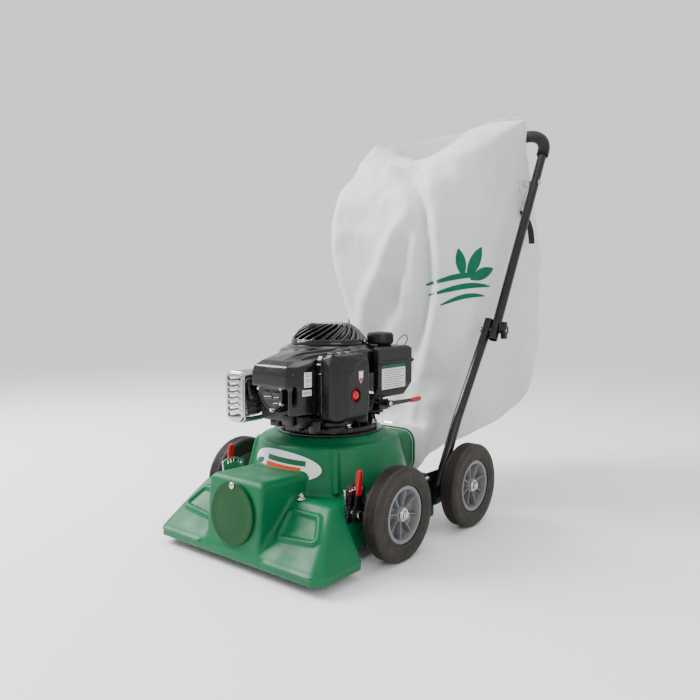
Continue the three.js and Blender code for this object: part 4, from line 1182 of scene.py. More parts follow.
PRIMER_LOW, PRIMER_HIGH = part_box("primer_bulb")
PRIMER_Y = (PRIMER_LOW.y + PRIMER_HIGH.y) / 2 / MM - CRANK.y / MM
PRIMER_Z = (PRIMER_LOW.z + PRIMER_HIGH.z) / 2 / MM


def filter_base():
    body = hull([(x, y, z) for x in (96.4, 111.6)
                 for y, z in ((-150, 308), (-64, 308), (-150, 426), (-64, 426),
                                                               (-144, 436), (-68, 436))])
    parts = [body]
    for z in (330, 352, 374, 396, 416):
        parts.append(tube([(97, -151.2, z), (111, -151.2, z)], 1.6, 8))
    return fused(parts, 1.6, 3)


def filter_cover():
    """Soft-cornered cover: tabs on top, a raised flowing line, short ribs and the primer's pocket."""
    body = hull([
        (112, -150, 300), (112, -150, 432), (112, -65, 298), (112, -65, 438),
        (136, -154, 308), (136, -154, 416), (150, -150, 300), (137, -144, 438),
        (158, -145, 302), (160, -142, 412), (152, -126, 438), (152, -58, 440),
        (165.6, -128, 308), (165.6, -62, 306), (165.6, -126, 404), (165.6, -58, 420), (165.6, -55, 318),
        (158, -51.5, 322), (157, -51.5, 424), (150, -58, 293), (141, -56, 439), (140, -54, 304),
    ])
    parts = [body]
    for y in (-134, -106, -78):
        parts.append(hull([(x, y + dy, z) for x, z in ((116, 430), (141, 430), (118, 444.6), (136, 443.4))
                           for dy in (-9, 9)]))
    shell = [fused(parts, 1.8, 10)]
    flow = smooth_line([(165, -126, 392), (165.4, -116, 400), (165, -102, 412), (163, -88, 420),
                        (161, -68, 426)], 10)
    shell.append(tube(flow, 1.5, 8))
    for i in range(4):
        z = 366 + 8 * i
        shell.append(tube([(164.6, -130, z - 2), (165.4, -110, z + 1)], 1.3, 8))
    outline = rounded_line([(165.2, -124, 322), (165.6, -122, 312), (165.6, -66, 309), (165.6, -61, 330),
                            (165.6, -61, 350)], 7, 5)
    shell.append(tube(outline, 0.9, 8))
    skin = fused(shell, 1.2, 2)
    pocket = lathe([(0, 150), (17, 150), (17.6, 166), (21, 169), (21, 180), (0, 180)], axis="X", sides=64)
    shifted(pocket, 0, PRIMER_Y, PRIMER_Z)
    lip = lathe([(13.8, 151), (16.6, 151), (16.8, 166), (14.2, 165)], axis="X", sides=64, closed=True)
    return joined(carved(skin, pocket), shifted(lip, 0, PRIMER_Y, PRIMER_Z))


def primer():
    outline = [(0, 157.4), (13, 157.4), (13.2, 158.4), (13, 160.2), (11.4, 160.8)]
    outline += [(10.8 * math.cos(math.pi / 2 * i / 8), 161 + 7.8 * math.sin(math.pi / 2 * i / 8))
                for i in range(9)]
    return shifted(lathe(outline, axis="X", sides=64), 0, PRIMER_Y, PRIMER_Z)


piece("filter_base", filter_base(), "gloss", origin=CRANK, replaces=["air_filter_base"], crisp=50)
piece("filter_cover", filter_cover(), "satin", origin=CRANK, replaces=["air_filter_cover"], crisp=50)
piece("primer_button", primer(), "red", "primer", CRANK, ["primer_bulb"])

FILTER_FACE_X = 165.2


def on_filter(u, v, lift):
    return (FILTER_FACE_X + lift, -86 + u, 391 + v)


def shield_outline(size):
    return [(-7.5 * size, 13 * size), (-2, 12 * size), (2, 12 * size), (7.5 * size, 13 * size),
            (7.5 * size, 2 * size), (7 * size, -4 * size), (4 * size, -10 * size), (0, -15 * size),
            (-4 * size, -10 * size), (-7 * size, -4 * size), (-7.5 * size, 2 * size)]


piece("crest_rim", wrapped(shield_outline(1.0), on_filter, -0.8, 1.6), "steel", origin=CRANK)
piece("crest_plate", wrapped(shield_outline(0.82), on_filter, 0.8, 0.3), "label", origin=CRANK)
piece("crest_foot", wrapped([(-5, -3), (5, -3), (4.4, -6), (2.6, -9), (0, -11.6), (-2.6, -9), (-4.4, -6)],
                            on_filter, 1.1, 0.3), "red", origin=CRANK)


def carburettor():
    """Cast throat with its bowl, flange, screws and choke linkage."""
    bowl = [(0, -6), (14, -6), (16.5, -3), (17, 0), (17, 14), (18.4, 15), (18.4, 18), (0, 18)]
    throat = lathe([(8, -34), (17, -34), (17, -30), (13, -28), (12, 12), (16, 15), (16, 20), (8, 20)],
                   axis="Y", sides=48, closed=True)
    parts = [shifted(lathe(bowl, sides=56), 113, -22, 284), shifted(throat, 113, -22, 316),
             fused([block((101, -46, 302), (126, 6, 330)), disc_rod(9, 126, 134, (0, -30, 316), "X")], 1.4,
                   3)]
    for y in (-44, 0):
        parts.append(shifted(bolt(3.2, 4), 120, y, 331))
    parts.append(tube(smooth_line([(128, -40, 326), (133, -20, 330), (132, 8, 322), (130, 24, 318)], 8),
                      1.1, 8))
    parts.append(tube(smooth_line([(130, -44, 310), (136, -20, 306), (134, 10, 300), (131, 30, 305)], 8),
                      1.1, 8))
    spring = [(128 + 3 * math.cos(t * 0.8), -8 + t * 0.42, 300 + 3 * math.sin(t * 0.8)) for t in range(0, 90)]
    parts.append(tube(spring, 0.6, 6))
    return joined(*parts)


piece("carburettor", carburettor(), "cast_black", origin=CRANK, replaces=["carburetor"], bevel=0.0)


def clutter():
    """Castings, brackets, hoses and screws between the sump and the casings."""
    parts = []
    elbow = smooth_line([(100, -56, 288), (110, -76, 284), (112, -104, 284), (98, -128, 288)], 8)
    parts.append(tube(elbow, 9, 24))
    fuel_hose = smooth_line([(118, 18, 336), (128, 4, 326), (130, -10, 308), (124, -20, 300)], 8)
    parts.append(tube(fuel_hose, 3.6, 16))
    filler = smooth_line([(60, -112, 262), (72, -124, 268), (80, -134, 276), (80, -138, 288)], 8)
    parts.append(tube(filler, 8, 24))
    parts.append(shifted(lathe([(0, 0), (12, 0), (13, 3), (13, 10), (9, 13), (0, 14)], sides=40), 80, -138,
                         288))
    for x, y, z, w, d, h in ((70, -134, 282, 34, 18, 14), (28, -146, 268, 44, 20, 16),
                             (-34, -140, 270, 30, 20, 12), (104, 30, 296, 16, 26, 34),
                             (98, -92, 262, 26, 40, 18), (86, -180, 286, 14, 30, 22),
                             (100, -160, 272, 16, 22, 26), (60, -196, 290, 30, 16, 20),
                             (100, 64, 288, 14, 22, 34)):
        corner = rounded_box(w / 2, d / 2, 3.5)
        parts.append(shifted(prism(corner, 0, h, "Z"), x, y, z))
    for x, y, z in ((58, -142, 300), (78, -140, 296), (104, -88, 300), (-20, -150, 286), (40, -152, 288)):
        parts.append(shifted(lathe([(0, -10), (5, -10), (5, 2), (6.5, 2), (6.5, 6), (0, 6.4)], sides=24), x,
                             y, z))
    return joined(*parts)


piece("sump_fittings", clutter(), "cast_black", origin=CRANK, bevel=0.8)
small_bolts = [shifted(bolt(4.4, 6), x, y, z)
               for x, y, z in ((70, -134, 296), (28, -146, 284), (104, 30, 330),
                                                              (96, -86, 296), (100, 64, 322))]
piece("fitting_bolts", joined(*small_bolts), "zinc", origin=CRANK)

THROTTLE_PIVOT = Vector(JOINTS["throttle_move"]["pos_m"]) / MM - Vector((0, CRANK.y / MM, 0))


def throttle_arm():
    """Pressed arm that swings on the bracket's pin."""
    x, y, z = THROTTLE_PIVOT
    outline = [(y - 9, z - 5), (y - 5, z - 9), (y + 20, z - 6), (y + 100, z - 6), (y + 100, z + 2),
               (y + 24, z + 4), (y - 5, z + 9), (y - 9, z + 5)]
    hole = shifted(lathe([(0, -9), (3.6, -9), (3.6, 9), (0, 9)], axis="X", sides=24), x, y, z)
    return carved(prism(outline, x - 1, x + 2), hole)


def throttle_tip():
    x, y, z = THROTTLE_PIVOT
    line = [(x + 0.5, y + d, z - 2.4) for d in (86, 87, 92, 120, 128, 131.5, 132.5)]
    sizes = (2.2, 4.6, 5.6, 6.4, 5.6, 3.4, 1.0)
    shape = bmesh.new()
    rings = [[shape.verts.new((p[0] + 0.62 * s * math.cos(t), p[1], p[2] + s * math.sin(t)))
              for t in (2 * math.pi * i / 32 for i in range(32))] for p, s in zip(line, sizes)]
    for low, high in zip(rings, rings[1:]):
        for i in range(32):
            shape.faces.new((low[i], low[(i + 1) % 32], high[(i + 1) % 32], high[i]))
    shape.faces.new(rings[0])
    shape.faces.new(rings[-1])
    bmesh.ops.recalc_face_normals(shape, faces=shape.faces)
    return shape


piece("throttle_arm", throttle_arm(), "paint", "throttle", CRANK, ["throttle_lever"], bevel=0.3)
piece("throttle_tip", throttle_tip(), "red", "throttle", CRANK)
keep_node("throttle_bracket", "paint", 0.5)
pin = shifted(hex_nut(6, 144.6, 148.5, axis="X"), 0, THROTTLE_PIVOT.y, THROTTLE_PIVOT.z)
piece("throttle_pin_nut", pin, "zinc", origin=CRANK)

# ---------- engine: fuel tank ----------


def tank_block(inset):
    low, high = 326 + inset, 445 - inset
    left, right, front, rear = -60 + inset, 137 - inset, 14 + inset, 149 - inset
    return hull([
        (left, front, low), (right - 14, front, low), (left, rear - 14, low), (right - 14, rear - 14, low),
        (left, front, low + 30), (right, front, low + 30), (left, rear, low + 30), (right, rear, low + 30),
        (left, front, high - 7), (right, front, high - 7), (left, rear, high - 7), (right, rear, high - 7),
        (left + 6, front, high), (right - 6, front, high), (left + 6, rear - 6, high),
        (right - 6, rear - 6, high),
    ])


def post(radius, low, high, x=0, y=0, sides=96):
    return lathe([(0, low), (radius, low), (radius, high), (0, high)], (x, y, 0), sides=sides)


def tank():
    """Two moulded halves welded at a flange, wrapped round the fan housing."""
    seam = prism(rounded_box(106, 71, 12, 38.5, 85), 407, 413, "Z")
    body = fused([tank_block(0), seam], 2.0, 5)
    neck = lathe([(0, 430), (26, 430), (26, 448), (24, 450), (24, 455), (0, 455)], (CAP_X, CAP_Y, 0),
                 sides=64)
    body = fused([carved(body, post(123, 300, 470, sides=160)), carved(neck, post(123, 300, 470))], 1.6, 2)
    hollow = carved(fused([tank_block(4)], 3, 2), post(128, 300, 470))
    return carved(body, joined(hollow), post(19.6, 438, 470, CAP_X, CAP_Y, 64))


def fuel_cap():
    """Ribbed screw cap."""
    outline = [(0, 457), (21, 457), (24.8, 456), (24.8, 449.2), (29.4, 449.2), (30.6, 451), (31, 455),
               (31, 470), (30, 474), (27, 476.4), (22, 477), (18, 476), (0, 475.6)]
    parts = [lathe(outline, (CAP_X, CAP_Y, 0), sides=120)]
    for i in range(32):
        rib = hull([(r, y, z) for r, z in ((30, 452), (32, 453), (32, 469), (30, 473)) for y in (-1.2, 1.2)])
        parts.append(shifted(turned_by(rib, 360 / 32 * i, "Z"), CAP_X, CAP_Y, 0))
    ring = tube([(CAP_X + 14 * math.cos(a), CAP_Y + 14 * math.sin(a), 476) for a in
                 (2 * math.pi * k / 40 for k in range(40))], 1.4, 8, closed=True)
    return joined(*parts, ring)


piece("fuel_tank_moulding", tank(), "satin", origin=CRANK, replaces=["fuel_tank"], crisp=50)
piece("ribbed_cap", fuel_cap(), "satin", "tank_cap", CRANK, ["fuel_cap"], crisp=30)
tether = smooth_line([(117, 110, 447), (120, 114, 458), (126, 121, 467), (130, 130, 470), (131, 136, 462),
                      (128, 136, 452), (126, 130, 446)], 8)
piece("tank_tether", tube(tether, 1.2, 10), "satin", origin=CRANK, replaces=["cap_tether"])


def on_tank(u, v, lift):
    return (137 + lift, 73 + u, 378 + v)


piece("tank_label", wrapped(stripe(-46, 46, -30, 30), on_tank, -0.5, 0.9), "label", origin=CRANK)
piece("tank_label_head", wrapped(stripe(-46, 46, 18, 30), on_tank, 0.4, 0.3), "print_green", origin=CRANK)
rows = [wrapped(stripe(-42 + 3 * (k % 2), 40 - 9 * (k % 3), 12 - 5.4 * k, 13.6 - 5.4 * k), on_tank, 0.4, 0.25)
        for k in range(8)]
piece("tank_label_rows", joined(*rows), "print_grey", origin=CRANK)


def on_shield(u, v, lift):
    """Point on the 45 degree side sheet below the nose."""
    start, along = Vector((88.4, -190, 382)), Vector((7, 40, 0)).normalized()
    out = Vector((along.y, -along.x, 0))
    return tuple(start + along * (17 + u) + Vector((0, 0, v)) + out * lift)


piece("side_label_tall", wrapped(stripe(-9, 11, -12, 20), on_shield, 0.4, 0.4), "label", origin=CRANK)
piece("side_label_wide", wrapped(stripe(-14, 10, -30, -17), on_shield, 0.4, 0.4), "label", origin=CRANK)
cells = []
for row in range(7):
    for column in range(5):
        if (row * 3 + column * 5 + row * column) % 3:
            u, v = -7 + 3.4 * column, -9 + 4 * row
            cells.append(wrapped(stripe(u, u + 2.4, v, v + 2.6), on_shield, 0.8, 0.15))
cells += [wrapped(stripe(-12 + 2.6 * k, -10.8 + 2.6 * k, -27, -20), on_shield, 0.8, 0.15) for k in range(8)]
piece("side_label_marks", joined(*cells), "print_grey", origin=CRANK)

# ---------- handle ----------

FOLD = Vector(JOINTS["handle_fold"]["pos_m"])
FOLD_Y, FOLD_Z = (FOLD.y - MACHINE.y) / MM, FOLD.z / MM
TUBE_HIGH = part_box("upper_handle")[1]
TUBE_RADIUS = 12
UPPER_X = TUBE_HIGH.x / MM - TUBE_RADIUS
LOWER_X = UPPER_X - 2 * TUBE_RADIUS - 0.6
CROSSBAR_Y, CROSSBAR_Z = 752, 1030
EYE_Z = 880


def along_handle(z):
    return Vector((0, FOLD_Y + (z - FOLD_Z) * (CROSSBAR_Y - FOLD_Y) / (CROSSBAR_Z - FOLD_Z), z))


def pipe(line, radius, wall=1.8, sides=36):
    """Open-ended tube with its bore."""
    line = [Vector(point) for point in line]
    outer = circle(radius, sides)
    inner = circle(radius - wall, sides)
    count = len(line)
    shape = bmesh.new()
    rings = []
    side = (line[1] - line[0]).normalized().cross(Vector((0.1, 1, 0.2))).normalized()
    for i, place in enumerate(line):
        along = (line[min(i + 1, count - 1)] - line[max(i - 1, 0)]).normalized()
        side = (side - along * side.dot(along)).normalized()
        up = side.cross(along)
        rings.append([[shape.verts.new(place + side * u + up * v) for u, v in ring]
                      for ring in (outer, inner)])
    for low, high in zip(rings, rings[1:]):
        for layer in (0, 1):
            for k in range(sides):
                n = (k + 1) % sides
                shape.faces.new((low[layer][k], low[layer][n], high[layer][n], high[layer][k]))
    for ring in (rings[0], rings[-1]):
        for k in range(sides):
            n = (k + 1) % sides
            shape.faces.new((ring[0][k], ring[0][n], ring[1][n], ring[1][k]))
    bmesh.ops.recalc_face_normals(shape, faces=shape.faces)
    return shape


for side_name, side in SIDES:
    line = rounded_line([(LOWER_X, 214, 98), (LOWER_X, 306, 262), (LOWER_X, FOLD_Y - 2, FOLD_Z - 4),
                         (LOWER_X, FOLD_Y + 14, FOLD_Z + 26)], 160, 10)
    foot = [(LOWER_X + dx, y, z) for dx in (-12, 8)
            for y, z in ((198, 84), (230, 84), (198, 112), (230, 112))]
    lower = joined(pipe(line, TUBE_RADIUS), hull(foot))
    piece(f"lower_tube_{side_name}", to_side(lower, side), "paint", replaces=[f"lower_handle_{side_name}"])
    rod = joined(disc_rod(4, 190, 262, axis="X", sides=32),
                 disc_rod(8, 188, 192.4, axis="X", sides=32, edge=1.2))
    acorn = lathe([(0, 254), (6.6, 254), (6.6, 258), (5.6, 260.5), (3.8, 262), (0, 262.6)], axis="X",
                  sides=32)
    piece(f"fold_pin_{side_name}", to_side(shifted(joined(rod, acorn), 0, FOLD_Y, FOLD_Z), side), "zinc",
          replaces=[f"fold_bolt_{side_name}"])

low_end = along_handle(FOLD_Z - 24)
corners = [(-UPPER_X, low_end.y, low_end.z), (-UPPER_X, CROSSBAR_Y, CROSSBAR_Z),
           (UPPER_X, CROSSBAR_Y, CROSSBAR_Z), (UPPER_X, low_end.y, low_end.z)]
piece("upper_tube", pipe(rounded_line(corners, 62, 14), TUBE_RADIUS), "paint", "handle",
      replaces=["upper_handle"])

foam_end = along_handle(CROSSBAR_Z - 68)
corners = [(-UPPER_X, foam_end.y, foam_end.z), *corners[1:3], (UPPER_X, foam_end.y, foam_end.z)]
grip = piece("foam_sleeve", pipe(rounded_line(corners, 62, 14), TUBE_RADIUS + 4.6, 4.2), "foam", "handle",
             replaces=["foam_grip"], bevel=1.2)


def knob(start):
    """T-shaped clamping knob with rounded lobes."""
    wing = fused([hull([(start + x, 0 + y, z) for x in (6, 19) for y in (-7, 7) for z in (-22, 22)]),
                  disc_rod(12.5, start + 5, start + 20, axis="X"), disc_rod(9, start, start + 8, axis="X")],
                 1.1, 6)
    bore = lathe([(0, start - 4), (4.7, start - 4), (4.7, start + 30), (0, start + 30)], axis="X", sides=32)
    return carved(wing, bore)


for side_name, side in SIDES:
    shape = knob(UPPER_X + TUBE_RADIUS + 1)
    piece(f"clamp_knob_{side_name}", shifted(to_side(shape, side), 0, FOLD_Y, FOLD_Z), "satin",
          f"knob_{side_name}", replaces=[f"fold_knob_{side_name}"], crisp=60)

# ---------- bag ----------

# Front and back points (y, z) of each cross-section, its half width and corner, from the neck up
BAG_SECTIONS = (
    (280, 219, 280, 117, 95, 29), (300, 219, 300, 117, 95, 29), (335, 219, 335, 117, 95, 29),
    (347, 246, 398, 138, 110, 42), (353, 300, 558, 172, 140, 60), (357, 360, 738, 207, 162, 82),
    (350, 440, 850, 270, 173, 100), (333, 540, 897, 405, 177, 110), (309, 655, 901, 560, 183, 115),
    (300, 750, 879, 740, 186, 110), (322, 850, 835, 855, 187, 100), (380, 926, 775, 940, 187, 80),
)
SEAM_ROUTE = ((-190, 478, 1008), (-165, 493, 1001), (-138, 509, 988), (-102, 531, 968), (-60, 556, 946),
              (-25, 580, 932), (0, 594, 940), (15, 601, 962), (38, 615, 1004), (66, 632, 1042),
              (95, 649, 1061), (129, 669, 1069), (165, 690, 1071), (188, 704, 1070))
AROUND = 132  # points round each ring of the bag
BODY_RINGS, SEAM_RINGS = 74, 14
CALM_RINGS = 12  # rings over which the folds fade in and out
FOLD_SCALE, WANDER, CRUMPLE = 1.2, 9, 12


def section_at(sections, t):
    """Values between the sections along a Catmull-Rom curve."""
    i = min(int(t), len(sections) - 2)
    f = t - i
    p0, p1, p2, p3 = (sections[min(max(i + k, 0), len(sections) - 1)] for k in (-1, 0, 1, 2))
    return [0.5 * (2 * b + (c - a) * f + (2 * a - 5 * b + 4 * c - d) * f * f
                   + (3 * b - a - 3 * c + d) * f ** 3)
            for a, b, c, d in zip(p0, p1, p2, p3)]


def around_section(values):
    """Points evenly round one rounded section; the first quarter starts at +X on the front."""
    front_y, front_z, back_y, back_z, half, corner = values
    centre = Vector((0, (front_y + back_y) / 2, (front_z + back_z) / 2))
    reach = Vector((0, back_y - front_y, back_z - front_z)) / 2
    down = reach.normalized()
    corner = min(corner, reach.length * 0.95, half * 0.95)
    sharp = min(corner, max(29, corner * 0.3))
    outline = []
    for i, (u, v) in enumerate(rounded_box(half, reach.length, corner, steps=12)):
        if 26 <= i < 39:
            u, v = rounded_box(half, reach.length, sharp, steps=12)[i]
        outline.append(Vector((u, v, 0)))
    lengths = [0]
    for a, b in zip(outline, outline[1:] + outline[:1]):
        lengths.append(lengths[-1] + (b - a).length)
    points = []
    k = 0
    for i in range(AROUND):
        want = lengths[-1] * i / AROUND
        while lengths[k + 1] < want:
            k += 1
        a, b = outline[k % len(outline)], outline[(k + 1) % len(outline)]
        share = (want - lengths[k]) / max(lengths[k + 1] - lengths[k], 1e-6)
        spot = a.lerp(b, share)
        points.append(centre + Vector((spot.x, 0, 0)) + down * spot.y)
    return points


def seam_point(x):
    x = min(max(x, SEAM_ROUTE[0][0]), SEAM_ROUTE[-1][0])
    for (x0, y0, z0), (x1, y1, z1) in zip(SEAM_ROUTE, SEAM_ROUTE[1:]):
        if x <= x1:
            f = (x - x0) / (x1 - x0)
            f = f * f * (3 - 2 * f) if x1 - x0 > 30 else f
            return Vector((x, y0 + (y1 - y0) * f, z0 + (z1 - z0) * f))
    return Vector(SEAM_ROUTE[-1])


def bell(value, centre, width):
    return math.exp(-((value - centre) / width) ** 2)


# Folds of the cloth: the line across the bag and up in mm, depth in mm (negative inwards), width in mm
FRONT_FOLDS = (
    (((-10, 930), (40, 880), (86, 800), (104, 700), (98, 600), (70, 500), (40, 420)), -40, 17),
    (((78, 905), (118, 820), (138, 720), (132, 600), (104, 470), (80, 380)), 16, 30),
    (((60, 800), (10, 720), (-50, 620), (-96, 540), (-120, 470)), 19, 22),
    (((50, 730), (20, 640), (-20, 550), (-60, 470)), -20, 20),
    (((-150, 900), (-90, 880), (-30, 862), (20, 850)), -10, 22),
    (((-160, 960), (-110, 925), (-40, 905)), 12, 22),
    (((-150, 780), (-110, 720), (-70, 640)), -7, 26),
    (((-130, 600), (-60, 520), (-10, 430), (20, 340)), 10, 24),
    (((-100, 480), (-50, 400), (-10, 320), (10, 260)), -9, 20),
    (((90, 420), (60, 330), (30, 250)), 9, 22),
)
SIDE_FOLDS = (
    (((690, 1010), (640, 930), (560, 830), (480, 740)), -9, 30),
    (((700, 960), (690, 860), (720, 760), (760, 640)), 7, 36),
    (((820, 620), (760, 500), (660, 400), (560, 310)), -8, 34),
    (((700, 480), (600, 390), (480, 300), (400, 230)), 8, 28),
    (((520, 520), (460, 420), (410, 320), (370, 250)), -8, 26),
    (((870, 480), (800, 400), (720, 340)), 7, 24),
    (((450, 940), (520, 900), (600, 900)), -6, 26),
)


def fold_depth(u, v, folds):
    total = 0
    for line, depth, width in folds:
        best, share = 1e9, 0
        for k, ((u0, v0), (u1, v1)) in enumerate(zip(line, line[1:])):
            du, dv = u1 - u0, v1 - v0
            t = min(max(((u - u0) * du + (v - v0) * dv) / (du * du + dv * dv), 0), 1)
            gap = math.hypot(u - u0 - du * t, v - v0 - dv * t)
            if gap < best:
                best, share = gap, (k + t) / (len(line) - 1)
        total += depth * math.exp(-(best / width) ** 2) * math.sin(math.pi * (0.08 + 0.84 * share)) ** 0.6
    return total


def bag_rings():
    last = len(BAG_SECTIONS) - 1
    rings = [around_section(section_at(BAG_SECTIONS, last * i / BODY_RINGS)) for i in range(BODY_RINGS + 1)]
    # Above the last section the cloth closes on the sagging top seam
    top = rings[-1]
    for step in range(1, SEAM_RINGS + 1):
        share = step / SEAM_RINGS
        ease = share ** 1.15
        ring = []
        for point in top:
            seam = seam_point(point.x * 0.995)
            swell = 8 * math.sin(math.pi * share) * (1 if point.y < seam.y else -1)
            spot = point.lerp(seam, ease)
            spread = 2.2 * (1 - share) + 1.6
            ring.append(spot + Vector((0, -swell * 0.35 if abs(point.y - seam.y) > 2 else 0, swell * 0.6
                                       * (1 if point.y < seam.y else -0.6)))
                        + Vector((0, -spread if point.y < seam.y else spread, 0)))
        rings.append(ring)
    return rings


def bag_shape():
    """Cloth bag open at its neck: lofted sections with folds pushed into them."""
    rings = bag_rings()
    shape = bmesh.new()
    count = len(rings)
    verts = []
    for r, ring in enumerate(rings):
        calm = min(max((r - 5) / CALM_RINGS, 0), 1) * min(max((count - 1 - r) / CALM_RINGS, 0), 1)
        level = []
        half_width = max(point.x for point in ring)
        point_front = min(point.y for point in ring)
        centre = sum(ring[::12], Vector()) / len(ring[::12])
        for k, point in enumerate(ring):
            before, after = ring[k - 1], ring[(k + 1) % AROUND]
            up = (rings[min(r + 1, count - 1)][k] - rings[max(r - 1, 0)][k]).normalized()
            out = (after - before).normalized().cross(up)
            if out.dot(point - centre) < 0:
                out.negate()
            facing_front = max(0, -out.y) ** 1.2
            facing_side = max(0, out.x) ** 1.2
            facing_far = max(0, -out.x) ** 1.2
            facing_back = max(0, out.y) ** 1.2
            depth = facing_front * fold_depth(point.x, point.z, FRONT_FOLDS)
            depth += facing_side * fold_depth(point.y, point.z, SIDE_FOLDS)
            depth += facing_far * 0.9 * fold_depth(point.y + 20, point.z - 14, SIDE_FOLDS)
            depth += facing_back * 0.7 * fold_depth(-point.x * 0.9, point.z + 30, FRONT_FOLDS)
            wander = noise.fractal(point * 0.006 + Vector((3, 7, 1)), 0.9, 2.1, 3)
            crumple = abs(noise.noise(Vector((point.x, point.y, point.z * 0.55)) * 0.02))
            left = bell(point.x, -half_width, 80) * bell(point.y, point_front, 110) * bell(point.z, 700, 190)
            dip = bell(point.x, 12, 62) * min(max((point.z - 830) / 100, 0), 1) * facing_front
            push = Vector((-0.77, -0.64, 0)) * 34 * left - Vector((0, 0, 34 * dip))
            belly = 7 * facing_side * math.sin(math.pi * min(max((point.z - 200) / 800, 0), 1))
            lift = depth * FOLD_SCALE + WANDER * wander - CRUMPLE * crumple + belly
            level.append(shape.verts.new(point + push + out * calm * lift))
        verts.append(level)
    for low, high in zip(verts, verts[1:]):
        for k in range(AROUND):
            n = (k + 1) % AROUND
            shape.faces.new((low[k], low[n], high[n], high[k]))
    # The two layers meet along the seam
    top = verts[-1]
    half = AROUND // 2
    start = max(range(AROUND), key=lambda k: top[k].co.x)
    for step in range(half):
        a, b = top[(start + step) % AROUND], top[(start + step + 1) % AROUND]
        c, d = top[(start - step - 1) % AROUND], top[(start - step) % AROUND]
        corners = list(dict.fromkeys((a, b, c, d)))
        if len(corners) > 2 and not shape.faces.get(corners):
            shape.faces.new(corners)
    bmesh.ops.recalc_face_normals(shape, faces=shape.faces)
    return shape


bag = piece("bag_cloth", bag_shape(), "cloth", replaces=["debris_bag"], crisp=60)
add(bag, "SUBSURF", levels=1, render_levels=1)
settle(bag)
bag.data.shade_smooth()
BAG_TREE = BVHTree.FromObject(bag, bpy.context.evaluated_depsgraph_get())


def on_bag_from(direction, middle_point):
    """Function that drops flat print coordinates (mm) onto the bag along a fixed direction."""
    look = Vector(direction).normalized()
    across = look.cross(Vector((0, 0, 1))).normalized()

    def place(u, v, lift):
        start = middle_point + across * u + Vector((0, 0, v))
        start = Vector((start.x * MM, MACHINE.y + start.y * MM, start.z * MM)) - look * 0.6
        hit, normal, _, _ = BAG_TREE.ray_cast(start, look)
        if hit is None:
            raise ValueError("the print misses the bag")
        if normal.dot(look) > 0:
            normal = -normal
        spot = hit + normal * lift * MM
        return (spot.x / MM, (spot.y - MACHINE.y) / MM, spot.z / MM)

    return place


# Hem folded over the top seam, with its stitches below
seam = [seam_point(x) for x in range(-187, 188, 6)]
hem_section = [(-1.3, -13), (1.3, -13), (2.2, -4), (1.8, 3), (0, 4.2), (-1.8, 3), (-2.2, -4)]
piece("bag_hem", swept(smooth_line(seam, 2), hem_section), "cloth", crisp=60)
stitches = []
for first, second in zip(seam, seam[1:]):
    start, end = first.lerp(second, 0.15), first.lerp(second, 0.85)
    for lean in (-2.6, 2.6):
        away = Vector((second - first).cross(Vector((0, 0, 1)))).normalized() * lean
        stitches.append(tube([start + away - Vector((0, 0, 9)), end + away - Vector((0, 0, 9))], 0.5, 6))
piece("bag_hem_stitches", joined(*stitches), "stitch", crisp=80)

neck = [(x, 279.5, 168 + z) for x, z in rounded_box(95.2, 51.4, 29, steps=8)]
piece("bag_neck_hem", tube(neck, 1.5, 10, closed=True), "cloth", crisp=60)


def neck_skirt():
    """Turned-back edge of the bag over its clamp."""
    layers = [(267.5, 95.6, 51.9, 29), (270, 98.2, 54.4, 31), (288, 101.6, 57.8, 33), (299, 102.4, 59.6, 34),
              (308, 101.2, 58.2, 34), (318, 98.4, 55.0, 32), (326, 96.2, 52.6, 30)]
    shape = bmesh.new()
    rings = []
    for y, half_x, half_z, corner in layers:
        ring = []
        for i, (x, z) in enumerate(rounded_box(half_x, half_z, corner, steps=10)):
            gather = 0.9 * math.sin(i * 1.9) * (1 if y > 272 else 0)
            ring.append(shape.verts.new((x * (1 + gather / 100), y, 168 + z * (1 + gather / 60))))
        rings.append(ring)
    for low, high in zip(rings, rings[1:]):
        for k in range(len(low)):
            n = (k + 1) % len(low)
            shape.faces.new((low[k], low[n], high[n], high[k]))
    bmesh.ops.recalc_face_normals(shape, faces=shape.faces)
    return shape


piece("bag_neck_skirt", neck_skirt(), "cloth", crisp=60)


def bag_emblem():
    """Three leaves over three gusts of wind: a plain picture in place of a printed mark."""
    marks = [leaf_outline(4, 10, 92, 17, 62, 22), leaf_outline(12, 6, 84, 15, 22, 22),
             leaf_outline(-6, 12, 74, 14, 104, 22)]
    for start, end, base, thick in ((-98, 64, -8, 15), (-90, 78, -34, 15), (-66, 60, -60, 13)):
        top, under = [], []
        for k in range(19):
            share = k / 18
            u = start + (end - start) * share
            v = base + 12 * math.sin(share * math.pi * 0.9) + 20 * share
            body = thick * math.sin(math.pi * (0.04 + 0.92 * share)) ** 0.7
            top.append((u, v + body / 2))
            under.append((u, v - body / 2))
        marks.append(top + under[::-1])
    return marks


print_face = on_bag_from((-math.sin(math.radians(40)), math.cos(math.radians(40)), 0),
                         Vector((180, 382, 600)))
piece("bag_emblem", joined(*[wrapped(mark, print_face, 0.5, 0.25) for mark in bag_emblem()]), "ink", crisp=80)

for name in ("bag_cloth", "bag_hem", "bag_hem_stitches", "bag_emblem"):
    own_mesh(bpy.data.objects[name])

# ---------- bag clamp ----------


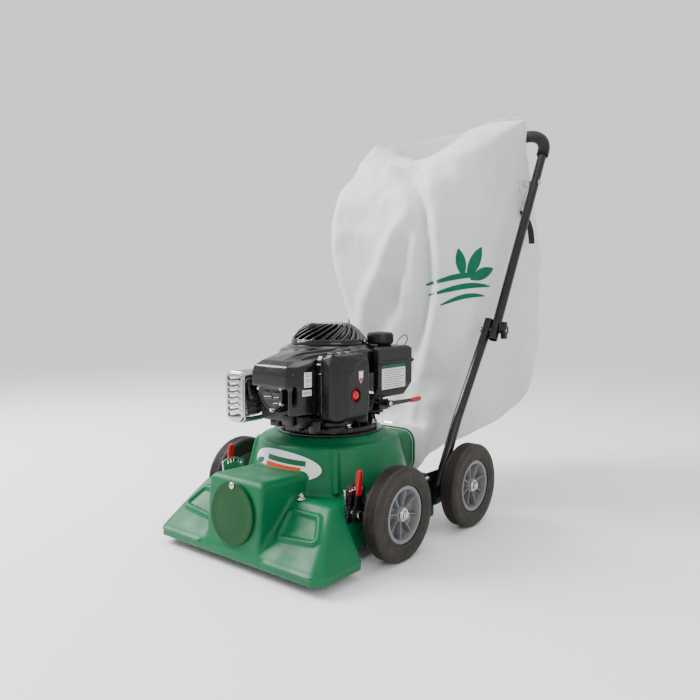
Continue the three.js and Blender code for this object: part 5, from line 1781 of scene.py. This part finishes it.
def clamp_band():
    """Strap round the bag's neck with a worm screw on top."""
    outline = rounded_box(97.0, 53.4, 31, steps=8)
    inner = rounded_box(96.1, 52.5, 30, steps=8)
    shape = bmesh.new()
    rings = []
    for y in (292, 306):
        rings.append([[shape.verts.new((x, y, 168 + z)) for x, z in line] for line in (outline, inner)])
    count = len(outline)
    for k in range(count):
        n = (k + 1) % count
        for layer in (0, 1):
            shape.faces.new((rings[0][layer][k], rings[0][layer][n], rings[1][layer][n], rings[1][layer][k]))
        for end in rings:
            shape.faces.new((end[0][k], end[0][n], end[1][n], end[1][k]))
    bmesh.ops.recalc_face_normals(shape, faces=shape.faces)
    top = 168 + 53.4
    house = hull([(x, y, z) for x in (-13, 13) for y in (291.5, 306.5) for z in (top - 0.4, top + 4.5)]
                 + [(x, y, top + 8.4) for x in (-13, 13) for y in (295, 303)])
    screw = disc_rod(3.2, -19, 22, (0, 299, top + 4.2), "X", 24)
    head = hex_nut(4.8, 20, 26, (0, 299, top + 4.2), "X")
    slots = [block((x, 293.5, top - 1), (x + 1.1, 304.5, top + 0.6)) for x in range(28, 60, 3)]
    return joined(shape, house, screw, head, *slots)


piece("neck_clamp", clamp_band(), "zinc", replaces=["bag_clamp"])

# ---------- bag hangers ----------


def eye_bolt():
    x = UPPER_X
    ring = tube([(x - 24 + 9 * math.cos(t * math.pi / 18), 0, 9 * math.sin(t * math.pi / 18))
                 for t in range(36)],
                2.3, 14, closed=True)
    shank = disc_rod(2.8, x - 16, x + 19.5, axis="X", sides=24)
    nut = hex_nut(6.2, x + 13.4, x + 18, axis="X")
    washers = joined(disc_rod(8, x + 12.2, x + 13.6, axis="X", sides=32), disc_rod(6.4, x - 14.4, x - 12.6,
                                                                                axis="X", sides=32))
    return joined(ring, shank, nut, washers)


EYE = along_handle(EYE_Z)
for side_name, side in SIDES:
    bolt_shape = shifted(to_side(eye_bolt(), side), 0, EYE.y, EYE.z)
    piece(f"eye_bolt_fitting_{side_name}", bolt_shape, "zinc", "handle", replaces=[f"eye_bolt_{side_name}"])


def snap_hook():
    """Wire hook: a loop above, its two legs drawn together, and a ring below for the strap."""
    legs = []
    for lean in (-1, 1):
        legs.append(tube(smooth_line([(lean * 0.5, 0, 16), (lean * 11, 0, 12), (lean * 15, 0, 0),
                                      (lean * 9, 0, -14), (lean * 4, 0, -26), (lean * 3, 0, -46),
                                      (lean * 5, 0, -58)], 6), 1.5,
                         12))
    tie = disc_rod(4.8, -50, -44, sides=28)
    ring = tube([(8 * math.cos(t * math.pi / 16), 0, -62 + 7 * math.sin(t * math.pi / 16))
                 for t in range(32)],
                1.7, 12, closed=True)
    return joined(*legs, tie, ring)


def hanging_strap():
    """Webbing loop from the hook's ring to the bag, its tail hanging free."""
    route = smooth_line([(-4, 0, -66), (-1, 4, -78), (6, 14, -96), (12, 20, -118), (16, 20, -142),
                         (19, 17, -160)], 8)
    return swept(route, rounded_box(8.5, 0.8, 0.5, steps=2))


for side_name, side in SIDES:
    place = (side * (UPPER_X - 29), EYE.y - 8, EYE.z - 8)
    hook = shifted(to_side(turned_by(snap_hook(), 8, "Z"), side), *place)
    piece(f"snap_hook_{side_name}", hook, "zinc", "handle", crisp=60)
    band = shifted(to_side(hanging_strap(), side), *place)
    strap = piece(f"hanging_strap_{side_name}", band, "webbing", "handle", crisp=60)
    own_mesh(strap)

# ---------- stage and light ----------


def stage_floor():
    """Pale floor that goes over into the same white as the air far from the machine."""
    floor_shape = lathe([(0, 0), (1, 0), (3, 0), (8, 0), (30, 0)], sides=96)
    mesh = bpy.data.meshes.new("floor")
    floor_shape.to_mesh(mesh)
    floor_shape.free()
    floor = bpy.data.objects.new("floor", mesh)
    bpy.context.scene.collection.objects.link(floor)
    material = bpy.data.materials.new("floor")
    material.use_nodes = True
    tree = material.node_tree
    shader = tree.nodes["Principled BSDF"]
    shader.inputs["Base Color"].default_value = (0.9, 0.9, 0.9, 1)
    shader.inputs["Roughness"].default_value = 0.55
    coords = tree.nodes.new("ShaderNodeTexCoord").outputs["Object"]
    length = tree.nodes.new("ShaderNodeVectorMath")
    length.operation = "LENGTH"
    tree.links.new(coords, length.inputs[0])
    glow = tree.nodes.new("ShaderNodeEmission")
    glow.inputs["Color"].default_value = (1, 1, 1, 1)
    glow.inputs["Strength"].default_value = AIR
    blend = tree.nodes.new("ShaderNodeMixShader")
    tree.links.new(ranged(tree, length.outputs["Value"], 0, 1, 1.6, 6), blend.inputs[0])
    tree.links.new(shader.outputs[0], blend.inputs[1])
    tree.links.new(glow.outputs[0], blend.inputs[2])
    tree.links.new(blend.outputs[0], tree.nodes["Material Output"].inputs["Surface"])
    mesh.materials.append(material)


AIR = 1.1
stage_floor()
world = bpy.data.worlds.new("air")
world.use_nodes = True
world.node_tree.nodes["Background"].inputs["Color"].default_value = (1, 1, 1, 1)
world.node_tree.nodes["Background"].inputs["Strength"].default_value = AIR
bpy.context.scene.world = world


def soft_light(name, place, aim, size, power):
    light = bpy.data.lights.new(name, "AREA")
    light.shape = "RECTANGLE"
    light.size, light.size_y = size
    light.energy = power
    thing = bpy.data.objects.new(name, light)
    thing.location = place
    thing.rotation_euler = (Vector(aim) - Vector(place)).to_track_quat("-Z", "Y").to_euler()
    bpy.context.scene.collection.objects.link(thing)


soft_light("key", (-2.3, -1.3, 2.5), (0, -0.1, 0.5), (1.7, 1.7), 210)
soft_light("fill", (2.6, -1.6, 1.5), (0, -0.1, 0.35), (1.6, 1.2), 22)
soft_light("top", (0.0, 0.3, 3.0), (0, 0, 0.4), (2.2, 2.2), 34)
